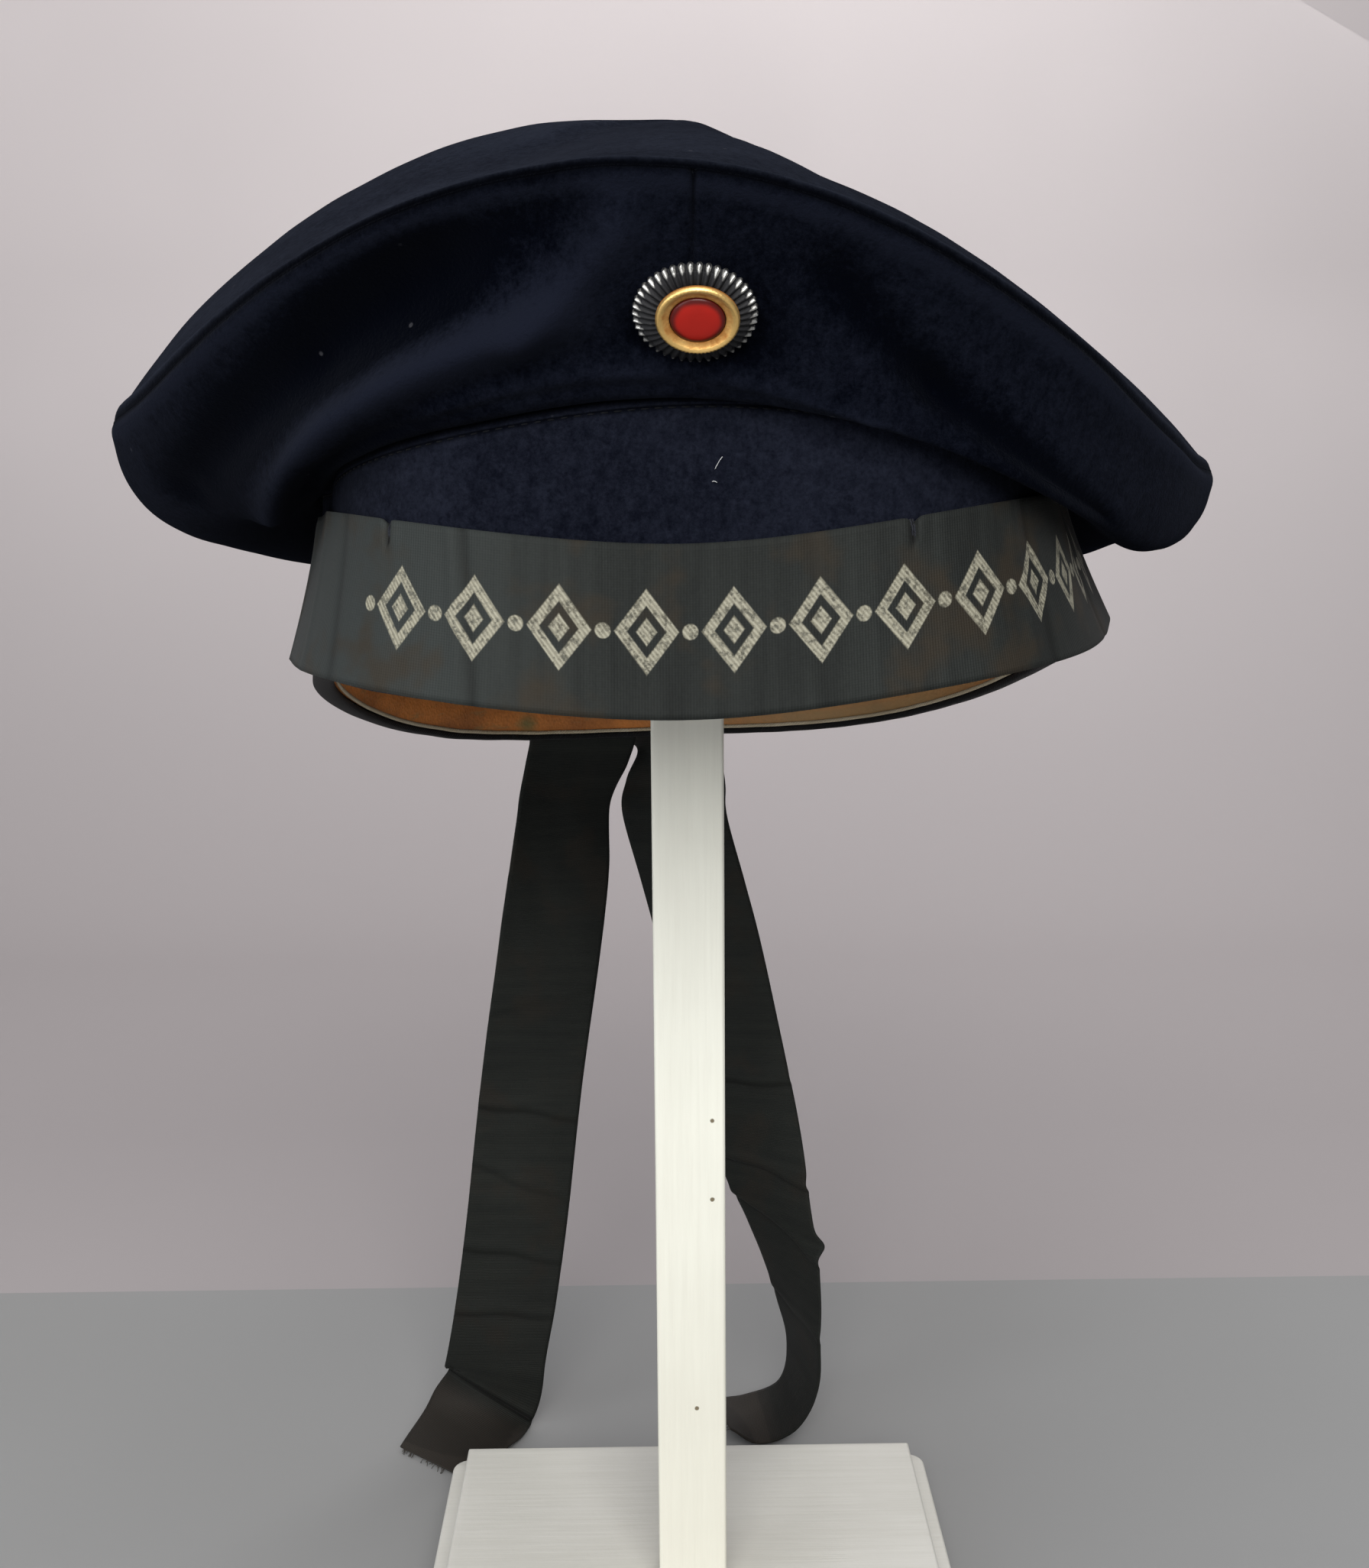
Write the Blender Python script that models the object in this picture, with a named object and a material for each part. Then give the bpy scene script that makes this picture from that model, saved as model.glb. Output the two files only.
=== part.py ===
"""Sailor cap on its plain wooden display stand.

The cap hangs on a square post that stands on a square plate. Its cloth is soft and old, so the
round top drapes over the post like a saddle and the side panels sag over the band. One table of
upright sections round the post's axis gives the shape of all the cloth, and the binding, leather
and ribbon are offset from the same sections.

Lengths in the tables are millimetres, and MM turns them into metres. Azimuth 0 is the front of
the cap (-Y), 90 its right side as seen from the front (+X), 180 the back. The origin is the
centre of the stand's underside.
"""
import math

import bmesh
import bpy
import numpy as np

MM = 0.001

# Points closer than this are one, in metres, and an edge that turns more than this is sharp
MERGE = 0.00002
SHARP_ANGLE = 40.0

# Thickness of cloth and trim, and the clearance between pieces
CLOTH = 2.0
LEATHER = 1.4
BINDING = 1.0
RIBBON = 1.0
GAP = 0.3
SEAM_DRAW = 0.18

# Trim on the band
RIBBON_WIDTH = 30.0
RIBBON_EASE = 0.2
RIBBON_BOW = 0.5
SWEATBAND_RISE = 36.0
BINDING_LEG = 4.0
BINDING_LIP = 0.6
BINDING_DROP = 1.3

# Stand
PLATE_SIDE = 133.0
PLATE_LEDGE = 4.5
PLATE_STEP = 9.0
PLATE_HEIGHT = 15.0
PLATE_CORNER = 5.0
CORNER_STEPS = 4
POST_SIDE = 16.4
POST_BEVEL = 3.0
POST_TOP = 356.6

# Upright sections of the cloth, one row each.
#   band_r, rim_z     outer face of the band at its lower rim
#   seam_r, seam_z    seam between the band and the side panel
#   low_r, low_z      first handle of the side panel's curve, next to the band
#   high_r, high_z    second handle, next to the disc's edge
#   edge_r, edge_z    edge seam between the side panel and the disc
#   outer_z, inner_z  height of the disc at two thirds and at one third of edge_r
#   lift, flare       ribbon's lower edge: height above the rim, and distance out from the band
SECTION_COLUMNS = ("azimuth", "band_r", "rim_z", "seam_r", "seam_z", "low_r", "low_z", "high_r",
                   "high_z", "edge_r", "edge_z", "outer_z", "inner_z", "lift", "flare")
SECTIONS = (
    (0, 100, 247, 97, 299.5, 105, 299, 103, 309, 119, 334, 343.5, 352, -2.0, 0.5),
    (30, 105, 252, 101, 293, 118, 276, 102, 291, 116, 313, 331, 346, -1.0, 1.5),
    (60, 91, 253.5, 83, 285, 104, 262, 111, 268, 111, 290, 320, 343, -0.5, 3.0),
    (90, 90, 248, 80, 289, 97, 259, 117, 271, 117, 286, 321, 344.5, 5.0, 1.5),
    (120, 92, 232, 84, 280, 94, 256, 134, 260, 130, 290, 323, 346, 8.0, 0.5),
    (150, 96, 218, 91, 267, 104, 250, 142, 262, 142, 299, 329, 349, 8.0, 0.0),
    (180, 98, 213.5, 95, 263, 110, 250, 144, 266, 146, 303, 334, 351, 8.0, 0.0),
    (210, 94, 215, 90, 264, 104, 246, 144, 264, 144, 303, 335, 352, 8.0, 0.0),
    (240, 86, 224, 82, 272, 94, 252, 137, 264, 134, 299, 335.5, 353, 8.0, 1.0),
    (270, 82.5, 238, 80, 282, 91, 265, 127, 268, 125, 297, 337, 355, 5.0, 3.0),
    (300, 86, 248, 82, 284.5, 96, 275, 111, 280, 118, 303, 337, 353.5, 1.0, 3.5),
    (330, 105, 249.5, 101, 292.5, 112, 292, 105, 302, 119, 325, 337, 350.5, -0.5, 1.5),
)
CROWN_TOP = 360.4
CROWN_SOFTNESS = 5.0

# Azimuth of the upright seam at the front; the one at the back lies opposite
FRONT_SEAM = 0.0
BACK_SEAM = FRONT_SEAM + 180.0

# Soft folds of the cloth. Each runs from one place on the cloth to another, where level 1 is the
# band seam, 2 the edge seam and 3 the crown's top, and a positive height stands out.
#   from_azimuth, from_level, to_azimuth, to_level, half_width, height
FOLDS = (
    (-62, 1.30, -12, 1.62, 6.0, 3.0),
    (-66, 1.66, -22, 1.80, 8.0, -3.5),
    (-4, 1.56, 4, 1.56, 7.0, -1.6),
)
FOLD_ARC_RADIUS = 110.0
FOLD_LEVEL_SPAN = 60.0

# Free ends of the ribbon, one row for each station from the band down to the table.
#   x, y, z   middle of the ribbon; y counts below the rim only, since it lies on the band above
#   turn      degrees that the right-hand edge is turned towards the front
#   bank      degrees that the right-hand edge is turned down
STREAMER_LEFT = (
    (-27.5, 102, 249, 0, 0),
    (-27.5, 102, 232, 0, 0),
    (-27.7, 102.5, 214, 0, 0),
    (-30, 103.5, 203, -14, 0),
    (-34, 104, 190, -32, 0),
    (-36, 104, 170, -20, 0),
    (-39, 103, 148, -8, 0),
    (-45, 102, 108, 0, 0),
    (-50, 100, 67, -3, 0),
    (-54, 98.5, 40, 0, 0),
    (-57.6, 99, 21, 0, 2),
    (-59.3, 99.4, 10.4, 0, 34),
    (-67.5, 89, 6.2, 19, 17),
    (-75.5, 78.5, 1.3, 41, 0),
)
STREAMER_RIGHT = (
    (-4.9, 102, 249, 0, 0),
    (-4.9, 102, 232, 0, 0),
    (-4.4, 102.5, 214, 0, 0),
    (-0.9, 103, 206, 38, 0),
    (-1.9, 104, 197, 20, 0),
    (-2.2, 104, 188, 2, 0),
    (3, 104, 168, 2, 0),
    (8, 104, 148, 4, 0),
    (16.5, 104, 108, 10, 0),
    (24.5, 103, 75, 40, 0),
    (30, 102, 56, 52, 0),
    (33.5, 101, 34, 67, 0),
    (34.5, 101, 18, 76, 0),
    (29.5, 101, 4.5, 84, 0),
    (15.5, 101, 1.2, 86, 0),
)
STREAMER_STEPS = 3

# Lowest height of the middle of a free end where it lies on the table
TABLE_REST = 0.8

# Places of the lengthwise lines of a free end, as shares of its width from the middle
ACROSS_SHARES = (-0.5, -0.17, 0.17, 0.5)

# At the back of the band the left half of the right end stands out to lap over the left end
LAP = 1.7
LAP_SHARES = (1.0, 1.0, 0.0, 0.0)

# Oval badge at front centre, in its own frame: across, up and out from the cloth
BADGE_AZIMUTH = 0.2
BADGE_LEVEL = 1.67
BADGE_TILT = 14.0
BADGE_MARGIN = 0.5
BADGE_ACROSS = 10.2
BADGE_UP = 9.3
BADGE_RIBS = 42
BADGE_RIB_DEPTH = 0.45
BADGE_RIM = 0.9
BADGE_DOME = 1.5
RING_OUTER = 6.8
RING_INNER = 4.6
RING_SIDES = 32
DOME_RADIUS = 4.3
DOME_RISE = 1.5
OVAL_SQUEEZE = 0.96

# Density of the cloth's mesh
AZIMUTH_STEPS = 72
BAND_LEVELS = 3
PANEL_LEVELS = 9
DISC_FRACTIONS = (1.0, 0.86, 0.71, 0.56, 0.41, 0.26, 0.14, 0.06, 0.0)


def remove_scene_objects():
    """Clear the scene before the model is built."""
    for item in list(bpy.data.objects):
        bpy.data.objects.remove(item, do_unlink=True)


def spline_controls(values):
    """Control values of a closed uniform cubic B-spline that passes through the given values."""
    count = len(values)
    matrix = np.zeros((count, count))
    for row in range(count):
        matrix[row, row] = 4.0 / 6.0
        matrix[row, (row + 1) % count] = 1.0 / 6.0
        matrix[row, (row - 1) % count] = 1.0 / 6.0
    return np.linalg.solve(matrix, np.asarray(values, dtype=float))


CONTROLS = {name: spline_controls([row[index] for row in SECTIONS])
            for index, name in enumerate(SECTION_COLUMNS) if name != "azimuth"}


def section(name, azimuth):
    """Value of one column of the section table at any azimuth in degrees."""
    controls = CONTROLS[name]
    count = len(controls)
    place = (np.asarray(azimuth, dtype=float) % 360.0) * count / 360.0
    start = np.floor(place).astype(int)
    t = place - start
    weights = ((1 - t) ** 3 / 6, (3 * t ** 3 - 6 * t ** 2 + 4) / 6,
               (-3 * t ** 3 + 3 * t ** 2 + 3 * t + 1) / 6, t ** 3 / 6)
    return sum(weight * controls[(start + shift) % count]
               for weight, shift in zip(weights, (-1, 0, 1, 2)))


def bezier(t, first, low, high, last):
    """Cubic curve from its ends and two handles."""
    return ((1 - t) ** 3 * first + 3 * (1 - t) ** 2 * t * low
            + 3 * (1 - t) * t ** 2 * high + t ** 3 * last)


def through_four(u, a, b, c, d):
    """Cubic through four values at u = 0, 1, 2 and 3."""
    first, second, third = b - a, c - b, d - c
    return (a + first * u + (second - first) * u * (u - 1) / 2
            + (third - 2 * second + first) * u * (u - 1) * (u - 2) / 6)


def unit(vectors):
    """Vectors scaled to length one."""
    length = np.linalg.norm(vectors, axis=-1, keepdims=True)
    return vectors / np.maximum(length, 1e-9)


def around_axis(radius, azimuth, height):
    """Points at a radius, azimuth and height, as an array whose last axis is x, y, z."""
    angle = np.radians(azimuth)
    return np.stack([radius * np.sin(angle), -radius * np.cos(angle),
                     height + 0.0 * angle], axis=-1)


def profile(azimuth, level):
    """Radius and height of the cloth before folds, for level 0 (rim) to 3 (crown's top)."""
    value = {name: section(name, azimuth) for name in CONTROLS}
    band = np.clip(level, 0.0, 1.0)
    panel = np.clip(level - 1.0, 0.0, 1.0)
    disc = np.clip(3.0 - level, 0.0, 1.0)
    band_r = value["band_r"] + (value["seam_r"] - value["band_r"]) * band
    band_z = value["rim_z"] + (value["seam_z"] - value["rim_z"]) * band
    panel_r = bezier(panel, value["seam_r"], value["low_r"], value["high_r"], value["edge_r"])
    panel_z = bezier(panel, value["seam_z"], value["low_z"], value["high_z"], value["edge_z"])
    disc_r = value["edge_r"] * disc
    soft = np.hypot(disc_r, CROWN_SOFTNESS) - CROWN_SOFTNESS
    reach = np.hypot(value["edge_r"], CROWN_SOFTNESS) - CROWN_SOFTNESS
    disc_z = through_four(3.0 * soft / reach, CROWN_TOP, value["inner_z"], value["outer_z"],
                          value["edge_z"])
    radius = np.where(level <= 1.0, band_r, np.where(level <= 2.0, panel_r, disc_r))
    height = np.where(level <= 1.0, band_z, np.where(level <= 2.0, panel_z, disc_z))
    return radius, height


def fold_height(azimuth, level):
    """Height of all the soft folds at a place on the cloth."""
    total = 0.0 * azimuth
    for from_azimuth, from_level, to_azimuth, to_level, half_width, height in FOLDS:
        run_x = math.radians(to_azimuth - from_azimuth) * FOLD_ARC_RADIUS
        run_y = (to_level - from_level) * FOLD_LEVEL_SPAN
        length = math.hypot(run_x, run_y)
        turn = (azimuth - from_azimuth + 180.0) % 360.0 - 180.0
        x = np.radians(turn) * FOLD_ARC_RADIUS
        y = (level - from_level) * FOLD_LEVEL_SPAN
        along = np.clip((x * run_x + y * run_y) / length, 0.0, length) / length
        distance = np.hypot(x - along * run_x, y - along * run_y)
        total = total + height * np.exp(-(distance / half_width) ** 2)
    return total


def grid_normals(points):
    """Outward normals of a grid that closes round the axis; a bend takes its mean direction."""
    around = np.roll(points, -1, axis=0) - np.roll(points, 1, axis=0)
    faces = unit(np.cross(around[:, 1:] + around[:, :-1], points[:, 1:] - points[:, :-1]))
    normals = np.zeros_like(points)
    normals[:, :-1] += faces
    normals[:, 1:] += faces
    normals[:, -1] = (0.0, 0.0, 1.0)
    return unit(normals)


def cloth_grids():
    """Outer and inner faces of all the cloth, each a grid of azimuths by levels."""
    azimuths = FRONT_SEAM + np.arange(AZIMUTH_STEPS) * 360.0 / AZIMUTH_STEPS
    levels = np.concatenate([np.linspace(0.0, 1.0, BAND_LEVELS + 1)[:-1],
                             np.linspace(1.0, 2.0, PANEL_LEVELS + 1)[:-1],
                             3.0 - np.array(DISC_FRACTIONS)])
    azimuth, level = np.meshgrid(azimuths, levels, indexing="ij")
    radius, height = profile(azimuth, level)
    plain = around_axis(radius, azimuth, height)
    outer = plain + grid_normals(plain) * fold_height(azimuth, level)[..., None]
    inner = outer - grid_normals(outer) * CLOTH
    return outer, inner, azimuths


def drawn_back(points, axis):
    """Copy of a grid whose first and last lines along an axis draw back to leave a seam gap."""
    result = np.array(points)
    lines = np.moveaxis(result, axis, 0)
    lines[0] += unit(lines[1] - lines[0]) * SEAM_DRAW
    lines[-1] += unit(lines[-2] - lines[-1]) * SEAM_DRAW
    return result


def link_body(name, body, material, smooth=True):
    """Turn a bmesh into an object of the scene, with its edges sharp past SHARP_ANGLE."""
    bmesh.ops.recalc_face_normals(body, faces=body.faces[:])
    mesh = bpy.data.meshes.new(name)
    body.to_mesh(mesh)
    body.free()
    mesh.materials.append(material)
    if smooth:
        mesh.shade_smooth()
        mesh.set_sharp_from_angle(angle=math.radians(SHARP_ANGLE))
    item = bpy.data.objects.new(name, mesh)
    bpy.context.collection.objects.link(item)


def add_object(name, vertices, faces, material, smooth=True):
    """Make one closed object from vertices in millimetres."""
    mesh = bpy.data.meshes.new(name + "_points")
    mesh.from_pydata((np.asarray(vertices) * MM).tolist(), [], faces)
    body = bmesh.new()
    body.from_mesh(mesh)
    bpy.data.meshes.remove(mesh)
    bmesh.ops.remove_doubles(body, verts=body.verts[:], dist=MERGE)
    link_body(name, body, material, smooth)


def add_wall(name, front, back, closed, material):
    """Wall between two grids of equal size, closed round the first axis or ended at both ends."""
    rows, columns = front.shape[:2]
    loop = 2 * columns
    sections = np.concatenate([front, back[:, ::-1]], axis=1)
    faces = []
    for row in range(rows if closed else rows - 1):
        here, after = row * loop, (row + 1) % rows * loop
        for index in range(loop):
            following = (index + 1) % loop
            faces.append((here + index, after + index, after + following, here + following))
    if not closed:
        for start in (0, (rows - 1) * loop):
            for index in range(columns - 1):
                faces.append((start + index, start + index + 1,
                              start + loop - 2 - index, start + loop - 1 - index))
    add_object(name, sections.reshape(-1, 3), faces, material)


def add_ring(name, sections, material):
    """Ring whose cross-sections are closed loops of points, one for each azimuth."""
    rows, loop = sections.shape[:2]
    faces = []
    for row in range(rows):
        here, after = row * loop, (row + 1) % rows * loop
        for index in range(loop):
            following = (index + 1) % loop
            faces.append((here + index, after + index, after + following, here + following))
    add_object(name, sections.reshape(-1, 3), faces, material)


def make_material(name, colour, roughness, metallic=0.0):
    """Principled material from a linear colour."""
    material = bpy.data.materials.new(name)
    material.use_nodes = True
    shader = material.node_tree.nodes["Principled BSDF"]
    shader.inputs["Base Color"].default_value = (*colour, 1.0)
    shader.inputs["Roughness"].default_value = roughness
    shader.inputs["Metallic"].default_value = metallic
    return material


def make_cloth(outer, inner, wool):
    """Band, two side panels and the top disc, cut from the same cloth grid."""
    seam = BAND_LEVELS
    edge = BAND_LEVELS + PANEL_LEVELS
    half = AZIMUTH_STEPS // 2
    band = slice(0, seam + 1)
    add_wall("head_band", drawn_back(outer[:, band], 1), drawn_back(inner[:, band], 1),
             True, wool)
    halves = (("side_panel_right", np.arange(0, half + 1)),
              ("side_panel_left", np.arange(half, AZIMUTH_STEPS + 1) % AZIMUTH_STEPS))
    panel = slice(seam, edge + 1)
    for name, rows in halves:
        faces = [drawn_back(drawn_back(grid[rows][:, panel], 1), 0) for grid in (outer, inner)]
        add_wall(name, faces[0], faces[1], False, wool)
    faces = []
    for grid in (outer, inner):
        disc = np.array(grid[:, edge:])
        disc[:, 0] += unit(disc[:, 1] - disc[:, 0]) * SEAM_DRAW
        faces.append(disc)
    add_wall("top_disc", faces[0], faces[1], True, wool)


def band_wall(azimuths):
    """Points of the band's outer rim and seam, and the unit vectors up the band and outwards."""
    rim = around_axis(section("band_r", azimuths), azimuths, section("rim_z", azimuths))
    seam = around_axis(section("seam_r", azimuths), azimuths, section("seam_z", azimuths))
    up = unit(seam - rim)
    along = unit(np.roll(rim, -1, axis=0) - np.roll(rim, 1, axis=0))
    return rim, up, unit(np.cross(along, up))


def make_rim_binding(azimuths, material):
    """Folded strip that wraps the lower edge of the band, a U in section."""
    rim, up, out = band_wall(azimuths)
    outside = GAP + BINDING
    inside = -CLOTH - GAP - BINDING
    outline = ((outside, BINDING_LEG), (outside, -GAP), (outside - BINDING, -BINDING_DROP),
               (inside + BINDING, -BINDING_DROP), (inside, -GAP), (inside, BINDING_LIP),
               (inside + BINDING, BINDING_LIP), (inside + BINDING, -GAP), (GAP, -GAP),
               (GAP, BINDING_LEG))
    loops = [rim + out * across + up * rise for across, rise in outline]
    add_ring("rim_binding", np.stack(loops, axis=1), material)


def make_sweatband(azimuths, material):
    """Leather strip that stands inside the band, above the binding's inner leg."""
    rim, up, out = band_wall(azimuths)
    face = -CLOTH - GAP
    outline = ((face, BINDING_LIP + GAP), (face, SWEATBAND_RISE),
               (face - LEATHER, SWEATBAND_RISE), (face - LEATHER, BINDING_LIP + GAP))
    loops = [rim + out * across + up * rise for across, rise in outline]
    add_ring("sweatband", np.stack(loops, axis=1), material)


def ribbon_lines(azimuths):
    """Lower, middle and upper lines of the ribbon's inner face, and the outward directions."""
    rim, up, out = band_wall(azimuths)
    lift = section("lift", azimuths)[:, None]
    flare = section("flare", azimuths)[:, None]
    clear = GAP + BINDING + GAP
    lower = rim + up * lift + out * (clear + flare)
    middle = rim + up * (lift + RIBBON_WIDTH / 2) + out * (GAP + RIBBON_EASE + flare * RIBBON_BOW)
    upper = rim + up * (lift + RIBBON_WIDTH) + out * GAP
    return np.stack([lower, middle, upper], axis=1), out


def make_tally_ribbon(azimuths, material):
    """Ribbon round the band."""
    lines, out = ribbon_lines(azimuths)
    add_wall("tally_ribbon", lines + out[:, None] * RIBBON, lines, True, material)


def back_of_ribbon(azimuths, x):
    """Y of the ribbon's lower edge, its outermost line at the back, at given x."""
    lines, out = ribbon_lines(azimuths)
    outer = lines[:, 0] + out * RIBBON
    behind = outer[outer[:, 1] > 0.0]
    order = np.argsort(behind[:, 0])
    return np.interp(x, behind[order, 0], behind[order, 1])


def smooth_rows(table, steps):
    """Rows of a table joined by a smooth curve, with steps rows for each interval."""
    rows = np.asarray(table, dtype=float)
    padded = np.concatenate([2 * rows[:1] - rows[1:2], rows, 2 * rows[-1:] - rows[-2:-1]])
    result = []
    for index in range(len(rows) - 1):
        a, b, c, d = padded[index:index + 4]
        for t in np.arange(steps) / steps:
            result.append(0.5 * (2 * b + (c - a) * t + (2 * a - 5 * b + 4 * c - d) * t ** 2
                                 + (3 * b - 3 * c + d - a) * t ** 3))
    result.append(rows[-1])
    return np.array(result)


def make_streamer(name, table, lap, azimuths, material):
    """One free end of the ribbon, from the back of the band down to the table."""
    stations = smooth_rows(table, STREAMER_STEPS)
    across = np.array(ACROSS_SHARES) * RIBBON_WIDTH
    turn = np.radians(stations[:, 3])[:, None]
    bank = np.radians(stations[:, 4])[:, None]
    x = stations[:, 0][:, None] + across * np.cos(bank) * np.cos(turn)
    y = stations[:, 1][:, None] - across * np.cos(bank) * np.sin(turn)
    z = np.maximum(stations[:, 2][:, None] - across * np.sin(bank), TABLE_REST)
    rim = section("rim_z", BACK_SEAM)
    on_band = np.clip((z - rim + 4.0) / 10.0, 0.0, 1.0)
    seat = back_of_ribbon(azimuths, x) + GAP + RIBBON / 2
    y = y + (seat - y) * on_band
    y = y + lap * np.array(LAP_SHARES) * np.clip((z - rim + 14.0) / 10.0, 0.0, 1.0)
    points = np.stack([x, y, z], axis=-1)
    down = np.gradient(points, axis=0)
    wide = np.gradient(points, axis=1)
    face = unit(np.cross(down, wide)) * RIBBON / 2
    add_wall(name, points + face, points - face, False, material)


def badge_frame(outer):
    """Centre and unit axes of the badge: across, up and out of the side panels."""
    place = {}
    for key, turn, climb in (("centre", 0.0, 0.0), ("right", 1.0, 0.0), ("up", 0.0, 0.04)):
        azimuth = np.array([BADGE_AZIMUTH + turn])
        radius, height = profile(azimuth, np.array([BADGE_LEVEL + climb]))
        place[key] = around_axis(radius, azimuth, height)[0]
    rise = unit(place["up"] - place["centre"])
    face = unit(np.cross(place["right"] - place["centre"], rise))
    tilt = math.radians(BADGE_TILT)
    up = rise * math.cos(tilt) + face * math.sin(tilt)
    out = face * math.cos(tilt) - rise * math.sin(tilt)
    right = np.cross(up, out)
    between = (outer[:, :-1] + outer[:, 1:]) / 2
    near = np.concatenate([outer.reshape(-1, 3), between.reshape(-1, 3)]) - place["centre"]
    inside = np.hypot(near @ right / (BADGE_ACROSS + BADGE_MARGIN),
                      near @ up / (BADGE_UP + BADGE_MARGIN)) < 1.0
    inside &= np.abs(near @ out) < BADGE_ACROSS
    stand_off = (near @ out)[inside].max() + GAP
    return place["centre"] + out * stand_off, right, up, out


def oval_points(frame, count, across, up, height, start=0.0):
    """Points of an oval parallel to the badge's plane."""
    centre, right, upward, out = frame
    angle = start + np.arange(count) * 2 * math.pi / count
    return (centre + np.outer(across * np.cos(angle), right)
            + np.outer(up * np.sin(angle), upward) + np.outer(height + 0.0 * angle, out))


def make_badge_backing(frame, material):
    """Ribbed oval plate, slightly domed, whose ribs run out to a toothed edge."""
    count = BADGE_RIBS * 2
    tooth = np.where(np.arange(count) % 2 == 0, 1.0, 0.0)
    reach = 1.0 - (1.0 - tooth) * 0.05
    inner = RING_OUTER / BADGE_ACROSS * 0.9
    rings = [
        oval_points(frame, count, BADGE_ACROSS * reach, BADGE_UP * reach, 0.0),
        oval_points(frame, count, BADGE_ACROSS * reach, BADGE_UP * reach,
                    BADGE_RIM - (1.0 - tooth) * BADGE_RIB_DEPTH),
        oval_points(frame, count, BADGE_ACROSS * inner, BADGE_UP * inner,
                    BADGE_RIM + BADGE_DOME),
    ]
    vertices = np.concatenate(rings)
    faces = []
    for ring in range(2):
        for index in range(count):
            following = (index + 1) % count
            faces.append((ring * count + index, ring * count + following,
                          (ring + 1) * count + following, (ring + 1) * count + index))
    faces.append(tuple(range(count)))
    faces.append(tuple(range(2 * count, 3 * count)))
    add_object("cockade_backing", vertices, faces, material, smooth=False)


def make_badge_ring(frame, material):
    """Oval ring with a groove round its face."""
    base = BADGE_RIM + BADGE_DOME + GAP
    middle = (RING_INNER + RING_OUTER) / 2
    outline = ((RING_INNER, base), (RING_OUTER, base), (RING_OUTER - 0.2, base + 0.8),
               (middle + 0.4, base + 1.0), (middle, base + 0.7), (middle - 0.5, base + 1.1),
               (RING_INNER, base + 0.9))
    loops = [oval_points(frame, RING_SIDES, radius, radius * OVAL_SQUEEZE, height)
             for radius, height in outline]
    add_ring("cockade_ring", np.stack(loops, axis=1), material)


def make_badge_dome(frame, material):
    """Domed centre inside the ring."""
    count = RING_SIDES // 2
    base = BADGE_RIM + BADGE_DOME + GAP
    outline = ((1.0, 0.0), (1.0, 0.55), (0.85, 0.8), (0.5, 0.96))
    rings = [oval_points(frame, count, DOME_RADIUS * radius, DOME_RADIUS * radius * OVAL_SQUEEZE,
                         base + DOME_RISE * height) for radius, height in outline]
    vertices = np.concatenate(rings)
    faces = [tuple(range(count)), tuple(range(3 * count, 4 * count))]
    for ring in range(3):
        for index in range(count):
            following = (index + 1) % count
            faces.append((ring * count + index, ring * count + following,
                          (ring + 1) * count + following, (ring + 1) * count + index))
    add_object("cockade_dome", vertices, faces, material)


def block(side, bottom, top):
    """New bmesh that holds a square block centred on the axis, in metres."""
    height = top - bottom
    body = bmesh.new()
    bmesh.ops.create_cube(body, size=MM)
    bmesh.ops.scale(body, vec=(side, side, height), verts=body.verts)
    bmesh.ops.translate(body, vec=(0.0, 0.0, (bottom + height / 2) * MM), verts=body.verts)
    return body


def make_stand_base(material):
    """Square plate with round corners and a routed step round its top."""
    body = block(PLATE_SIDE, 0.0, PLATE_STEP)
    upright = [edge for edge in body.edges
               if abs(edge.verts[0].co.z - edge.verts[1].co.z) > PLATE_STEP * MM / 2]
    bmesh.ops.bevel(body, geom=upright, offset=PLATE_CORNER * MM, segments=CORNER_STEPS,
                    profile=0.5, affect="EDGES")
    top = max(body.faces, key=lambda face: face.calc_center_median().z)
    bmesh.ops.inset_individual(body, faces=[top], thickness=PLATE_LEDGE * MM)
    raised = bmesh.ops.extrude_face_region(body, geom=[top])["geom"]
    lifted = [item for item in raised if isinstance(item, bmesh.types.BMVert)]
    bmesh.ops.translate(body, vec=(0.0, 0.0, (PLATE_HEIGHT - PLATE_STEP) * MM), verts=lifted)
    bmesh.ops.delete(body, geom=[top], context="FACES_ONLY")
    link_body("stand_base", body, material, smooth=False)


def make_stand_post(material):
    """Square post from the plate to the underside of the crown, eased at its top."""
    body = block(POST_SIDE, PLATE_HEIGHT + GAP, POST_TOP)
    brow = [edge for edge in body.edges
            if min(vertex.co.z for vertex in edge.verts) > (POST_TOP - POST_BEVEL) * MM]
    bmesh.ops.bevel(body, geom=brow, offset=POST_BEVEL * MM, segments=1, profile=0.5,
                    affect="EDGES")
    link_body("stand_post", body, material, smooth=False)


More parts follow.
